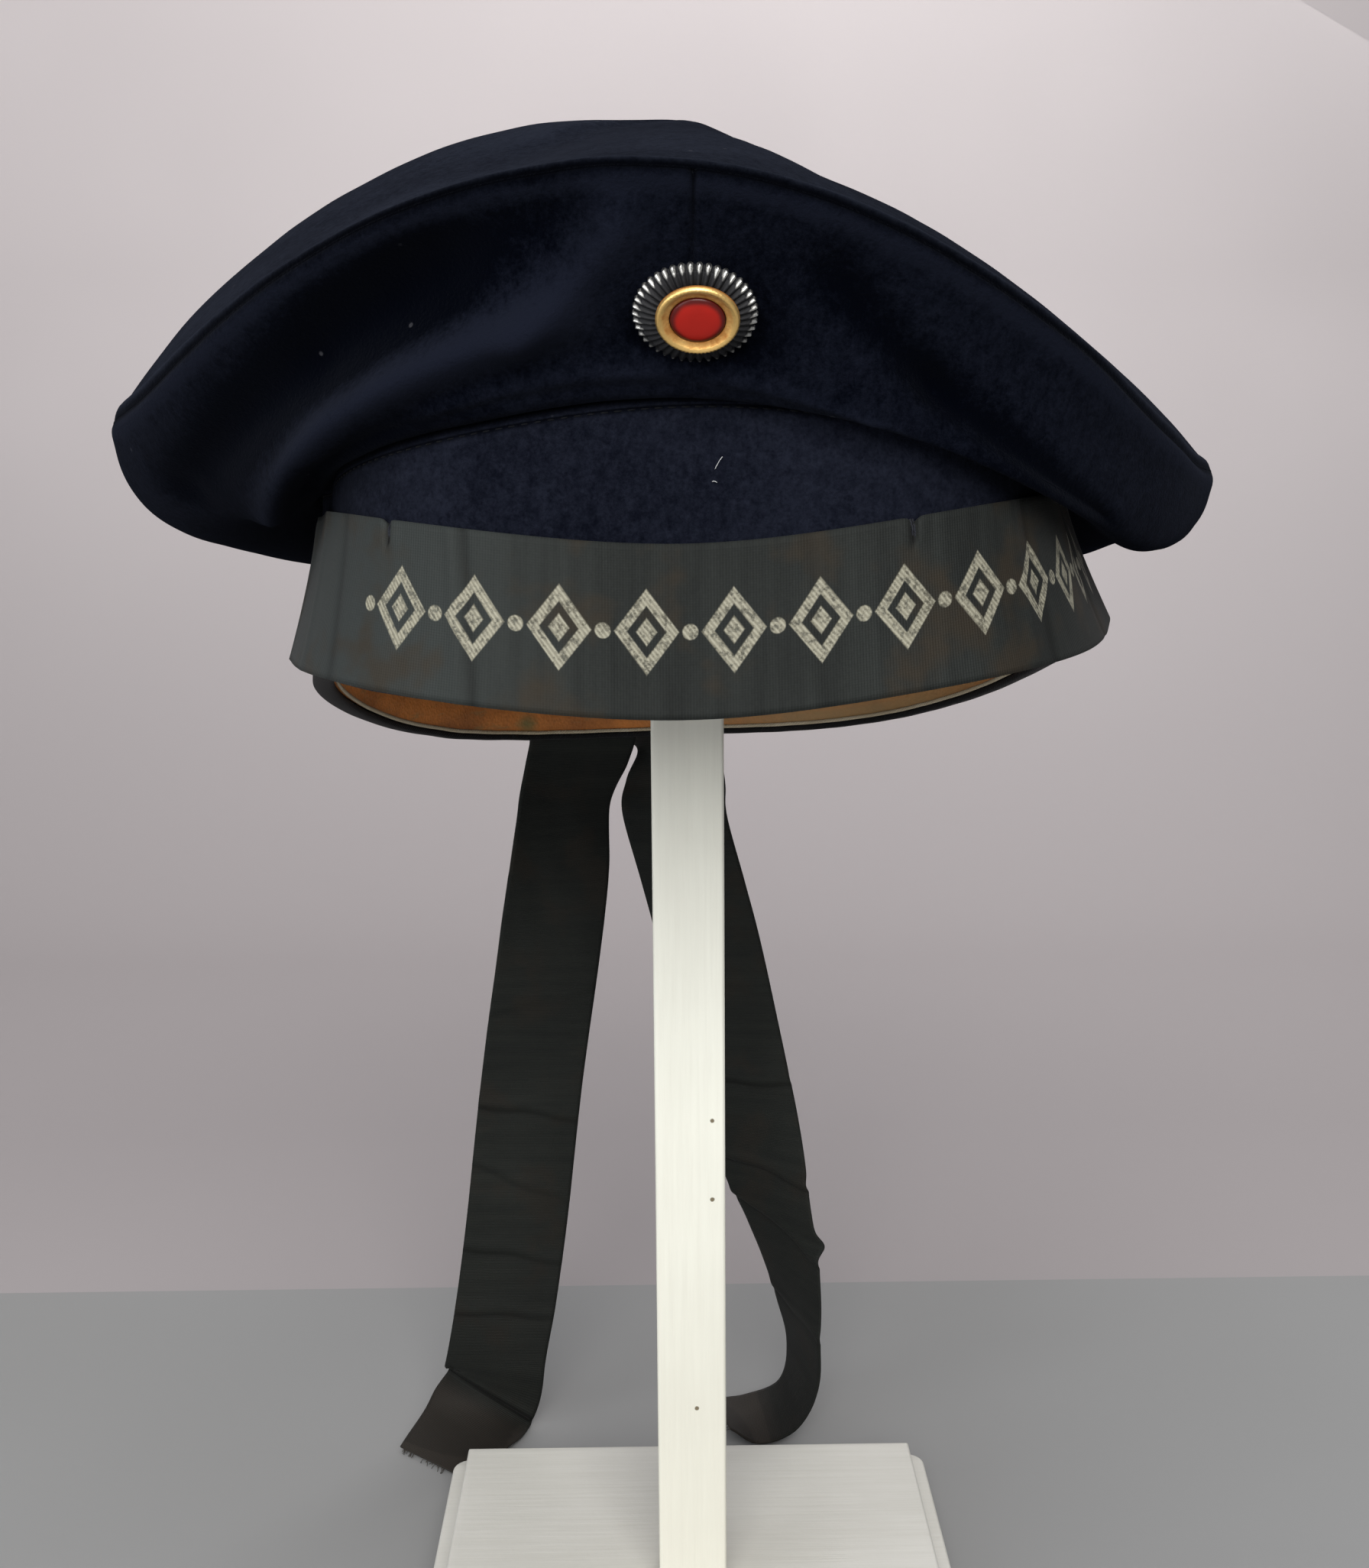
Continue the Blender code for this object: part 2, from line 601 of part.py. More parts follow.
def main():
    """Build the whole cap and its stand."""
    remove_scene_objects()
    wool = make_material("navy_wool", (0.012, 0.014, 0.028), 0.95)
    ribbon = make_material("ribbed_ribbon", (0.035, 0.038, 0.036), 0.7)
    leather = make_material("brown_leather", (0.16, 0.065, 0.02), 0.55)
    binding = make_material("black_binding", (0.008, 0.008, 0.009), 0.6)
    silver = make_material("silvered_metal", (0.4, 0.4, 0.38), 0.4, 1.0)
    gold = make_material("gilt_metal", (0.65, 0.4, 0.13), 0.35, 1.0)
    red = make_material("red_enamel", (0.3, 0.02, 0.015), 0.3)
    painted = make_material("painted_wood", (0.72, 0.7, 0.62), 0.5)
    outer, inner, azimuths = cloth_grids()
    make_cloth(outer, inner, wool)
    make_rim_binding(azimuths, binding)
    make_sweatband(azimuths, leather)
    make_tally_ribbon(azimuths, ribbon)
    make_streamer("streamer_left", STREAMER_LEFT, 0.0, azimuths, ribbon)
    make_streamer("streamer_right", STREAMER_RIGHT, LAP, azimuths, ribbon)
    frame = badge_frame(outer)
    make_badge_backing(frame, silver)
    make_badge_ring(frame, gold)
    make_badge_dome(frame, red)
    make_stand_base(painted)
    make_stand_post(painted)


main()
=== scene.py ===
"""Sailor cap on its display stand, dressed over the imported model.

The cloth follows the same table of upright sections as the solids, on a much finer grid, with the
seam grooves, rolled edges, creases and stitches that the solids leave out. Lengths in the tables
are millimetres, and MM turns them into metres. Azimuth 0 is the front (-Y) and 90 the right (+X).
"""
import logging
import math
from collections.abc import Sequence
from dataclasses import dataclass, field
from enum import Enum

import bmesh
import bpy
import numpy as np
from mathutils import Matrix, Vector


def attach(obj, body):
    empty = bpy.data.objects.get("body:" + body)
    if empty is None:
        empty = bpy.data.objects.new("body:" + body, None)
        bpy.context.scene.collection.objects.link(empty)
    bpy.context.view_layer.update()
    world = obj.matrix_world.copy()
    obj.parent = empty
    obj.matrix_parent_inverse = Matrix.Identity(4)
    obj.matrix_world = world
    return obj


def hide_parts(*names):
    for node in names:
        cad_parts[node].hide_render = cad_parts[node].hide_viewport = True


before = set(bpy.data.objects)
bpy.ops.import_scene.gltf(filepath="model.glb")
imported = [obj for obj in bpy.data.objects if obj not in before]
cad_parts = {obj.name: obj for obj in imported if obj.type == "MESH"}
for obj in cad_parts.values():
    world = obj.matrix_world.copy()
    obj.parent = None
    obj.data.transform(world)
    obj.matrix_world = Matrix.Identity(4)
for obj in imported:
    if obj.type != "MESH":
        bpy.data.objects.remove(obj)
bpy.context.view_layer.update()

LOG = logging.getLogger("sailor_cap")

MM = 0.001

# Walls and clearances of the solids that the fine pieces stand for
CLOTH = 2.0
LEATHER = 1.4
BINDING = 1.0
RIBBON = 1.0
RIBBON_SHEET = 0.5
GAP = 0.3
RIBBON_WIDTH = 30.0
RIBBON_EASE = 0.2
RIBBON_BOW = 0.5
SWEATBAND_RISE = 36.0
BINDING_LEG = 4.0
BINDING_LIP = 0.6
CROWN_TOP = 360.4
CROWN_SOFTNESS = 5.0
TUBE_HINT = (0.31, 0.17, 0.93)

Array = np.ndarray
Material = bpy.types.Material
Triple = tuple[float, float, float]
Rows = tuple[Triple, ...]
Waves = tuple[tuple[float, int, float], ...]
Colour = Triple
Faces = list[tuple[int, ...]]
Marks = dict[str, Array]
Operand = "Value | float"

# Upright sections of the cloth, one row each.
#   band_r, rim_z     outer face of the band at its lower rim
#   seam_r, seam_z    seam between the band and the side panel
#   low_r, low_z      first handle of the side panel's curve, next to the band
#   high_r, high_z    second handle, next to the disc's edge
#   edge_r, edge_z    edge seam between the side panel and the disc
#   outer_z, inner_z  height of the disc at two thirds and at one third of edge_r
#   lift, flare       ribbon's lower edge: height above the rim, and distance out from the band
SECTION_COLUMNS = ("azimuth", "band_r", "rim_z", "seam_r", "seam_z", "low_r", "low_z", "high_r",
                   "high_z", "edge_r", "edge_z", "outer_z", "inner_z", "lift", "flare")
RING_COLUMNS = {"rim": ("band_r", "rim_z"), "seam": ("seam_r", "seam_z")}
SECTIONS = (
    (0, 100, 247, 97, 299.5, 105, 299, 103, 309, 119, 334, 343.5, 352, -2.0, 0.5),
    (30, 105, 252, 101, 293, 118, 276, 102, 291, 116, 313, 331, 346, -1.0, 1.5),
    (60, 91, 253.5, 83, 285, 104, 262, 111, 268, 111, 290, 320, 343, -0.5, 3.0),
    (90, 90, 248, 80, 289, 97, 259, 117, 271, 117, 286, 321, 344.5, 5.0, 1.5),
    (120, 92, 232, 84, 280, 94, 256, 134, 260, 130, 290, 323, 346, 8.0, 0.5),
    (150, 96, 218, 91, 267, 104, 250, 142, 262, 142, 299, 329, 349, 8.0, 0.0),
    (180, 98, 213.5, 95, 263, 110, 250, 144, 266, 146, 303, 334, 351, 8.0, 0.0),
    (210, 94, 215, 90, 264, 104, 246, 144, 264, 144, 303, 335, 352, 8.0, 0.0),
    (240, 86, 224, 82, 272, 94, 252, 137, 264, 134, 299, 335.5, 353, 8.0, 1.0),
    (270, 82.5, 238, 80, 282, 91, 265, 127, 268, 125, 297, 337, 355, 5.0, 3.0),
    (300, 86, 248, 82, 284.5, 96, 275, 111, 280, 118, 303, 337, 353.5, 1.0, 3.5),
    (330, 105, 249.5, 101, 292.5, 112, 292, 105, 302, 119, 325, 337, 350.5, -0.5, 1.5),
)

# Soft folds, each from one place on the cloth to another: level 1 is the band seam, 2 the edge
# seam and 3 the crown's top.
#   from_azimuth, from_level, to_azimuth, to_level, half_width, height
SOLID_FOLDS = (
    (-62, 1.30, -12, 1.62, 6.0, 3.0),
    (-66, 1.66, -22, 1.80, 8.0, -3.5),
    (-4, 1.56, 4, 1.56, 7.0, -1.6),
)
FINE_FOLDS = (
    (12, 1.84, 22, 1.66, 4.5, -1.8),
    (22, 1.66, 44, 1.50, 5.5, -2.0),
    (-15, 1.58, -6, 1.86, 4.0, 2.4),
    (-38, 1.38, -15, 1.56, 5.0, 1.0),
    (-36, 1.77, -12, 1.90, 6.0, -1.5),
    (-24, 1.30, -4, 1.34, 3.5, 0.9),
    (2, 1.34, 16, 1.30, 3.5, 0.7),
    (66, 1.40, 92, 1.70, 8.0, -0.9),
    (110, 1.35, 130, 1.75, 8.0, 1.5),
    (150, 1.30, 160, 1.80, 7.0, -1.5),
    (196, 1.35, 206, 1.80, 8.0, 1.5),
    (230, 1.25, 246, 1.80, 7.0, -1.6),
    (-150, 2.10, -110, 2.45, 14.0, -0.9),
    (100, 2.12, 140, 2.40, 13.0, -1.0),
    (-40, 2.30, 10, 2.36, 12.0, 0.7),
    (-135, 2.73, -45, 2.73, 11.0, 1.5),
    (50, 2.81, 130, 2.81, 8.0, -1.5),
    (-58, 1.33, -14, 1.62, 4.0, 1.3),
    (-60, 1.68, -26, 1.80, 7.0, -1.3),
    (-52, 1.16, -30, 1.22, 4.0, -0.9),
)
FOLD_ARC_RADIUS = 110.0
FOLD_LEVEL_SPAN = 60.0

# Free ends of the ribbon, one row for each station from the band down to the table.
#   x, y, z   middle of the ribbon; y counts below the rim only, since it lies on the band above
#   turn      degrees that the right-hand edge is turned towards the front
#   bank      degrees that the right-hand edge is turned down
STREAMER_LEFT = (
    (-27.5, 102, 249, 0, 0),
    (-27.5, 102, 232, 0, 0),
    (-27.7, 102.5, 214, 0, 0),
    (-30, 103.5, 203, -14, 0),
    (-34, 104, 190, -32, 0),
    (-36, 104, 170, -20, 0),
    (-39, 103, 148, -8, 0),
    (-45, 102, 108, 0, 0),
    (-50, 100, 67, -3, 0),
    (-54, 98.5, 40, 0, 0),
    (-57.6, 99, 21, 0, 2),
    (-59.3, 99.4, 10.4, 0, 34),
    (-65.8, 92.2, 4.9, 32, 12),
    (-73.7, 77.4, 1.2, 40, 0),
)
STREAMER_RIGHT = (
    (-4.9, 102, 249, 0, 0),
    (-4.9, 102, 232, 0, 0),
    (-4.4, 102.5, 214, 0, 0),
    (-0.9, 103, 206, 38, 0),
    (-1.9, 104, 197, 20, 0),
    (-2.2, 104, 188, 2, 0),
    (3, 104, 168, 2, 0),
    (8, 104, 148, 4, 0),
    (16.5, 104, 108, 10, 0),
    (24.5, 103, 75, 40, 0),
    (30, 102, 56, 52, 0),
    (33.5, 101, 34, 67, 0),
    (34.5, 101, 18, 76, 0),
    (30.5, 101, 5.5, 84, 0),
    (20, 100, 1.5, 85, -1),
    (11, 98.5, 3.9, 84, -12),
)
LAP = 1.7
LAP_PLACES = (-0.5, -0.17, 0.17, 0.5)
LAP_SHARES = (1.0, 1.0, 0.0, 0.0)


def unit(vectors: Array) -> Array:
    """Vectors scaled to length one."""
    length = np.linalg.norm(vectors, axis=-1, keepdims=True)
    return vectors / np.maximum(length, 1e-9)


def around_axis(radius: Array, azimuth: Array, height: Array) -> Array:
    """Points at a radius, azimuth and height.

    Args:
        radius: Distance from the post's axis.
        azimuth: Degrees round the axis from the front.
        height: Height above the table.

    Returns:
        Array whose last axis is x, y, z.
    """
    angle = np.radians(azimuth)
    return np.stack([radius * np.sin(angle), -radius * np.cos(angle),
                     height + 0.0 * angle], axis=-1)


def bump_at(distance: Array, width: float, height: float = 1.0) -> Array:
    """Smooth ridge or groove of a height at distance zero."""
    return height * np.exp(-(distance / width) ** 2)


def bumps_at(distance: Array, bumps: Rows) -> Array:
    """Height of several ridges and grooves that follow one line.

    Args:
        distance: Millimetres from the line.
        bumps: Distance, half width and height of each; a groove's height is negative.

    Returns:
        Height at each place.
    """
    return sum(bump_at(distance - place, width, height) for place, width, height in bumps)


def clamp(values: Array) -> Array:
    """Values held between 0 and 1."""
    return np.clip(values, 0.0, 1.0)


def turn_from(azimuth: Array, start: float) -> Array:
    """Degrees from a start to each azimuth, from -180 to 180."""
    return (azimuth - start + 180.0) % 360.0 - 180.0


def round_angles(count: int) -> Array:
    """Radians of a number of even places round a circle."""
    return np.arange(count) * 2 * math.pi / count


def travel(points: Array, axis: int = 0) -> Array:
    """Distance run along each line of a grid.

    Args:
        points: Line of points, or a grid of them.
        axis: Axis that the lines follow.

    Returns:
        Distance at each point, from 0 at the line's start.
    """
    steps = np.linalg.norm(np.diff(points, axis=axis), axis=-1)
    start = np.zeros_like(np.take(steps, [0], axis=axis))
    return np.concatenate([start, np.cumsum(steps, axis=axis)], axis=axis)


def ripple(points: Array, length: float, seed: int) -> Array:
    """Gentle unevenness, a sum of sine waves in fixed directions.

    Args:
        points: Places in millimetres.
        length: Typical wave length in millimetres.
        seed: Picks the directions and phases.

    Returns:
        Value from about -1 to 1 for each place.
    """
    source = np.random.default_rng(seed)
    total = np.zeros(points.shape[:-1])
    for _ in range(7):
        direction = source.normal(size=3)
        direction /= np.linalg.norm(direction)
        stretch = source.uniform(0.6, 1.6)
        phase = source.uniform(0.0, 2 * math.pi)
        total += np.sin(points @ direction * 2 * math.pi / (length * stretch) + phase)
    return total / 4.0


def ripples(points: Array, waves: Waves) -> Array:
    """Unevenness from several ripples.

    Args:
        points: Places in millimetres.
        waves: Wave length, seed and height of each.

    Returns:
        Height at each place.
    """
    return sum(ripple(points, length, seed) * height for length, seed, height in waves)


def smooth_rows(table: Sequence[Sequence[float]], steps: int) -> Array:
    """Rows of a table joined by a smooth curve.

    Args:
        table: Rows that the curve passes through.
        steps: Rows made for each interval.

    Returns:
        The finer table.
    """
    rows = np.asarray(table, dtype=float)
    padded = np.concatenate([2 * rows[:1] - rows[1:2], rows, 2 * rows[-1:] - rows[-2:-1]])
    result = []
    for index in range(len(rows) - 1):
        a, b, c, d = padded[index:index + 4]
        for t in np.arange(steps) / steps:
            result.append(0.5 * (2 * b + (c - a) * t + (2 * a - 5 * b + 4 * c - d) * t ** 2
                                 + (3 * b - 3 * c + d - a) * t ** 3))
    result.append(rows[-1])
    return np.array(result)


class Slot(Enum):
    """Material slots of the record."""

    WOOL = "navy_wool"
    RIBBON = "ribbed_ribbon"
    LEATHER = "brown_leather"
    BINDING = "black_binding"
    SILVER = "silvered_metal"
    GILT = "gilt_metal"
    ENAMEL = "red_enamel"
    PAINT = "painted_wood"


@dataclass
class Piece:
    """One mesh of the dressed cap, from millimetre points to a scene object."""

    name: str
    slot: Slot
    material: Material
    stands_for: tuple[str, ...] = ()

    def make(self, points: Array, faces: Sequence[Sequence[int]],
             marks: Marks | None = None, merge: float = 0.0) -> bpy.types.Object:
        """Turn points and faces into an object that rides with the cap.

        Args:
            points: Vertices in millimetres, one row each.
            faces: Vertex numbers of each face.
            marks: Named values for each vertex, which materials read.
            merge: Distance in millimetres below which vertices become one.

        Returns:
            The new object.
        """
        mesh = bpy.data.meshes.new(self.name)
        mesh.from_pydata((np.asarray(points) * MM).tolist(), [], [tuple(face) for face in faces])
        for key, values in (marks or {}).items():
            layer = mesh.attributes.new(key, "FLOAT", "POINT")
            layer.data.foreach_set("value", np.asarray(values, dtype=np.float32).ravel())
        mesh.materials.append(self.material)
        mesh.shade_smooth()
        mesh.update()
        item = bpy.data.objects.new(self.name, mesh)
        bpy.context.scene.collection.objects.link(item)
        if merge:
            self._weld(item, merge)
        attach(item, "root")
        if self.stands_for:
            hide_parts(*self.stands_for)
        LOG.info("%s: %d vertices, %d faces", self.name, len(mesh.vertices), len(mesh.polygons))
        return item

    @staticmethod
    def _weld(item: bpy.types.Object, merge: float) -> None:
        """Merge the vertices of a mesh that lie close together.

        Args:
            item: Object with the mesh.
            merge: Distance in millimetres below which vertices become one.
        """
        body = bmesh.new()
        body.from_mesh(item.data)
        bmesh.ops.remove_doubles(body, verts=body.verts[:], dist=merge * MM)
        body.to_mesh(item.data)
        body.free()


def loop_faces(rows: int, count: int, first: int = 0) -> Faces:
    """Faces between closed loops of vertices that follow one another.

    Args:
        rows: Loops of vertices.
        count: Vertices in a loop.
        first: Number of the first vertex.

    Returns:
        Faces by vertex number.
    """
    faces = []
    for row in range(rows - 1):
        here, after = first + row * count, first + (row + 1) * count
        for index in range(count):
            following = (index + 1) % count
            faces.append((here + index, here + following, after + following, after + index))
    return faces


def wall_faces(rows: int, columns: int, ends: bool) -> Faces:
    """Faces of a wall whose loops run out over its front and back over its rear.

    Args:
        rows: Loops of vertices.
        columns: Vertices across one side, so a loop has twice as many.
        ends: Whether the first and last loops are closed by faces.

    Returns:
        Faces by vertex number.
    """
    loop = 2 * columns
    faces = loop_faces(rows, loop)
    if ends:
        last = (rows - 1) * loop
        for index in range(columns - 1):
            far = loop - 2 - index
            faces.append((index, far + 1, far, index + 1))
            faces.append((last + index, last + index + 1, last + far, last + far + 1))
    return faces


def wall(piece: Piece, front: Array, back: Array, ends: bool = True,
         marks: Marks | None = None, merge: float = 0.0) -> bpy.types.Object:
    """Make a wall between two grids of equal size.

    Args:
        piece: What the wall is.
        front: Outer grid, rows by columns by x, y, z.
        back: Inner grid.
        ends: Whether to close the first and last rows.
        marks: Named values for the grid, which both sides carry.
        merge: Distance in millimetres below which vertices become one.

    Returns:
        The new object.
    """
    rows, columns = front.shape[:2]
    points = np.concatenate([front, back[:, ::-1]], axis=1).reshape(-1, 3)
    full = {key: np.broadcast_to(values, (rows, columns)) for key, values in (marks or {}).items()}
    both = {key: np.concatenate([grid, grid[:, ::-1]], axis=1) for key, grid in full.items()}
    return piece.make(points, wall_faces(rows, columns, ends), both, merge)


def tube_faces(rows: int, sides: int, first: int = 0) -> Faces:
    """Faces of a tube with closed ends.

    Args:
        rows: Loops along the tube.
        sides: Vertices in a loop.
        first: Number of the tube's first vertex.

    Returns:
        Faces by vertex number.
    """
    last = first + (rows - 1) * sides
    return [*loop_faces(rows, sides, first), tuple(range(first + sides - 1, first - 1, -1)),
            tuple(range(last, last + sides))]


def tube_points(path: Array, radii: Array, sides: int) -> Array:
    """Vertices of a tube along a path.

    Args:
        path: Points of the middle line.
        radii: Radius at each point.
        sides: Vertices in a loop.

    Returns:
        Vertices, loop by loop.
    """
    tangent = unit(np.gradient(path, axis=0))
    first = unit(np.cross(tangent, TUBE_HINT))[:, None]
    second = np.cross(tangent, first[:, 0])[:, None]
    angle = round_angles(sides)[:, None]
    ring = first * np.cos(angle) + second * np.sin(angle)
    return (path[:, None] + ring * radii[:, None, None]).reshape(-1, 3)


@dataclass
class Strands:
    """Thin tubes, such as stitches or loose threads, that become one piece."""

    sides: int
    points: list[Array] = field(default_factory=list)
    faces: Faces = field(default_factory=list)

    def add(self, path: Array, radius: Array | float) -> None:
        """Add one tube.

        Args:
            path: Points of the middle line.
            radius: Radius of the whole tube, or one for each point.
        """
        self.faces += tube_faces(len(path), self.sides, sum(map(len, self.points)))
        self.points.append(tube_points(path, np.full(len(path), radius), self.sides))

    def make(self, piece: Piece) -> None:
        """Turn the tubes into the given piece."""
        piece.make(np.concatenate(self.points), self.faces)


def at_distance(place: Array, distance: Array, rows: Array) -> Array:
    """Points or directions at places along a line.

    Args:
        place: Distances wanted.
        distance: Distance along the line at each row, rising.
        rows: Point or direction of each row.

    Returns:
        One row for each place.
    """
    return np.stack([np.interp(place, distance, rows[:, axis]) for axis in range(3)], axis=-1)


def run_stitches(piece: Piece, line: Array, out: Array, pitch: float, share: float,
                 radius: float, lift: float) -> None:
    """Make a row of stitches along a line.

    Args:
        piece: What the stitches are.
        line: Points of the line.
        out: Outward direction at each point.
        pitch: Distance from one stitch to the next.
        share: Part of the pitch that a stitch covers.
        radius: Radius of the thread.
        lift: Height of a stitch's middle over the line.
    """
    strands = Strands(6)
    length = travel(line)
    shape = np.linspace(0.0, 1.0, 5)
    ends = (2 * shape - 1.0) ** 4
    count = int(length[-1] / pitch)
    for index in range(count):
        place = (index + 0.5 + (shape - 0.5) * share) * length[-1] / count
        path = at_distance(place, length, line)
        path = path + at_distance(place, length, out) * (lift - 0.35 * ends[:, None])
        strands.add(path, radius * (1.0 - 0.45 * ends))
    strands.make(piece)


class Value:
    """Output socket of a node that takes part in Python expressions."""

    def __init__(self, graph: "Graph", socket: bpy.types.NodeSocket) -> None:
        """Keep the socket and the graph that it belongs to."""
        self.graph = graph
        self.socket = socket

    def _math(self, operation: str, *operands: Operand) -> "Value":
        """Math node over the operands."""
        return self.graph.node("ShaderNodeMath", {"operation": operation},
                               dict(enumerate(operands)))

    def __add__(self, other: Operand) -> "Value":
        """Sum."""
        return self._math("ADD", self, other)

    def __radd__(self, other: Operand) -> "Value":
        """Sum with the number first."""
        return self._math("ADD", other, self)

    def __sub__(self, other: Operand) -> "Value":
        """Difference."""
        return self._math("SUBTRACT", self, other)

    def __rsub__(self, other: Operand) -> "Value":
        """Difference with the number first."""
        return self._math("SUBTRACT", other, self)

    def __mul__(self, other: Operand) -> "Value":
        """Product."""
        return self._math("MULTIPLY", self, other)

    def __rmul__(self, other: Operand) -> "Value":
        """Product with the number first."""
        return self._math("MULTIPLY", other, self)

    def __truediv__(self, other: Operand) -> "Value":
        """Quotient."""
        return self._math("DIVIDE", self, other)

    def __rtruediv__(self, other: Operand) -> "Value":
        """Quotient with the number first."""
        return self._math("DIVIDE", other, self)

    def __abs__(self) -> "Value":
        """Size without sign."""
        return self._math("ABSOLUTE", self)

    def wave(self, pitch: float) -> "Value":
        """Sine wave from 0 to 1 that repeats at a pitch."""
        return self._math("SINE", self * (2 * math.pi / pitch)) * 0.5 + 0.5

    def fraction(self) -> "Value":
        """Part after the decimal point."""
        return self._math("FRACT", self)

    def most(self, other: Operand) -> "Value":
        """Larger of two values."""
        return self._math("MAXIMUM", self, other)

    def rise(self, low: float, high: float) -> "Value":
        """Smooth step from 0 at low to 1 at high; low may be the larger, for a fall."""
        return self.graph.node("ShaderNodeMapRange", {"interpolation_type": "SMOOTHSTEP"},
                               {0: self, 1: low, 2: high, 3: 0.0, 4: 1.0})


class Graph:
    """Node tree of one material."""

    def __init__(self, name: str) -> None:
        """Start a material whose tree holds one Principled shader.

        Args:
            name: Name of the material.
        """
        self.material = bpy.data.materials.new(name)
        self.material.use_nodes = True
        self.tree = self.material.node_tree
        self.shader = self.tree.nodes["Principled BSDF"]
        self.place = self.node("ShaderNodeTexCoord", output=3)

    def node(self, kind: str, settings: dict[str, object] | None = None,
             inputs: dict[int | str, object] | None = None, output: int = 0) -> Value:
        """Add any node.

        Args:
            kind: Blender's type name of the node.
            settings: Properties to set first, such as a Math node's operation.
            inputs: Values or links by socket name or number.
            output: Number of the output socket to return.

        Returns:
            The chosen output.
        """
        made = self.tree.nodes.new(kind)
        for key, setting in (settings or {}).items():
            setattr(made, key, setting)
        for key, given in (inputs or {}).items():
            self.feed(made.inputs[key], given)
        return Value(self, made.outputs[output])

    def feed(self, socket: bpy.types.NodeSocket, given: object) -> None:
        """Link a value to a socket, or set the socket.

        Args:
            socket: Input socket.
            given: Value to link, or a plain number, vector or colour.
        """
        if isinstance(given, Value):
            self.tree.links.new(given.socket, socket)
        elif isinstance(given, tuple) and len(given) == 3 and socket.type == "RGBA":
            socket.default_value = (*given, 1.0)
        else:
            socket.default_value = given

    def scaled_place(self, scale: Triple) -> Value:
        """Position stretched along the axes."""
        return self.node("ShaderNodeVectorMath", {"operation": "MULTIPLY"},
                         {0: self.place, 1: scale})

    def height(self) -> Value:
        """Height above the table in metres."""
        return self.node("ShaderNodeSeparateXYZ", None, {0: self.place}, output=2)

    def mark(self, name: str) -> Value:
        """Value that the mesh carries at each vertex."""
        return self.node("ShaderNodeAttribute", {"attribute_name": name}, output=2)

    def noise(self, scale: float, detail: float = 2.0, rough: float = 0.5,
              place: Value | None = None) -> Value:
        """Cloudy noise.

        Args:
            scale: Features per metre.
            detail: Number of finer layers.
            rough: Strength of the finer layers.
            place: Coordinates, if not the plain position.

        Returns:
            Value from 0 to 1.
        """
        return self.node("ShaderNodeTexNoise", None,
                         {"Vector": place or self.place, "Scale": scale, "Detail": detail,
                          "Roughness": rough})

    def cells(self, scale: float, output: int = 0) -> Value:
        """Distance to the nearest of scattered points, or another output of the cell pattern."""
        return self.node("ShaderNodeTexVoronoi", None,
                         {"Vector": self.place, "Scale": scale}, output)

    def mix(self, share: Operand, first: object, second: object) -> Value:
        """Blend of two colours."""
        return self.node("ShaderNodeMix", {"data_type": "RGBA"}, {0: share, 6: first, 7: second},
                         output=2)

    def bump(self, height: Value, distance: float, strength: float = 1.0) -> Value:
        """Normal of a height map."""
        return self.node("ShaderNodeBump", None,
                         {"Height": height, "Distance": distance, "Strength": strength})

    def finish(self, **sockets: object) -> Material:
        """Feed the shader's sockets.

        Args:
            sockets: Values by socket name, with underscores for spaces.

        Returns:
            The finished material.
        """
        for key, given in sockets.items():
            self.feed(self.shader.inputs[key.replace("_", " ")], given)
        return self.material


@dataclass(frozen=True)
class Wool:
    """Napped navy cloth with a little lint."""

    dark: Colour = (0.0005, 0.0008, 0.0021)
    light: Colour = (0.0068, 0.0082, 0.0145)
    lint: Colour = (0.08, 0.08, 0.09)
    groove: Colour = (0.0004, 0.0005, 0.0010)
    nap: float = 0.00045

    def build(self, name: str) -> Material:
        """Material of the cloth.

        Args:
            name: Name of the material.

        Returns:
            The material.
        """
        graph = Graph(name)
        clouds = graph.noise(38.0, 3.0, 0.6)
        felt = graph.noise(480.0, 4.0, 0.75)
        grain = graph.noise(1500.0, 3.0, 0.7)
        weave = graph.noise(700.0, 2.0, 0.6, graph.scaled_place((1.0, 1.0, 0.4)))
        tone = clouds * 0.30 + felt * 0.45 + grain * 0.35 + weave * 0.15 - 0.12
        # The fold mark paints shade in the hollows and highlight on the folds and seam rolls.
        tone = tone + graph.mark("fold") * 0.30
        cloth = graph.mix(tone.rise(0.28, 0.78), self.dark, self.light)
        # The seam mark paints shade in the seam grooves.
        cloth = graph.mix(graph.mark("seam"), cloth, self.groove)
        spots = graph.cells(170.0).rise(0.10, 0.05)
        rare = graph.cells(170.0, 1)
        chosen = graph.node("ShaderNodeSeparateColor", None, {0: rare}).rise(0.90, 0.93)
        cloth = graph.mix(spots * chosen * 0.35, cloth, self.lint)
        height = felt * 0.40 + grain * 0.60
        return graph.finish(Base_Color=cloth, Roughness=0.97, Sheen_Weight=0.022,
                            Sheen_Roughness=0.55, Sheen_Tint=(0.60, 0.66, 0.85),
                            Specular_IOR_Level=0.0,
                            Normal=graph.bump(height, self.nap, 0.9))


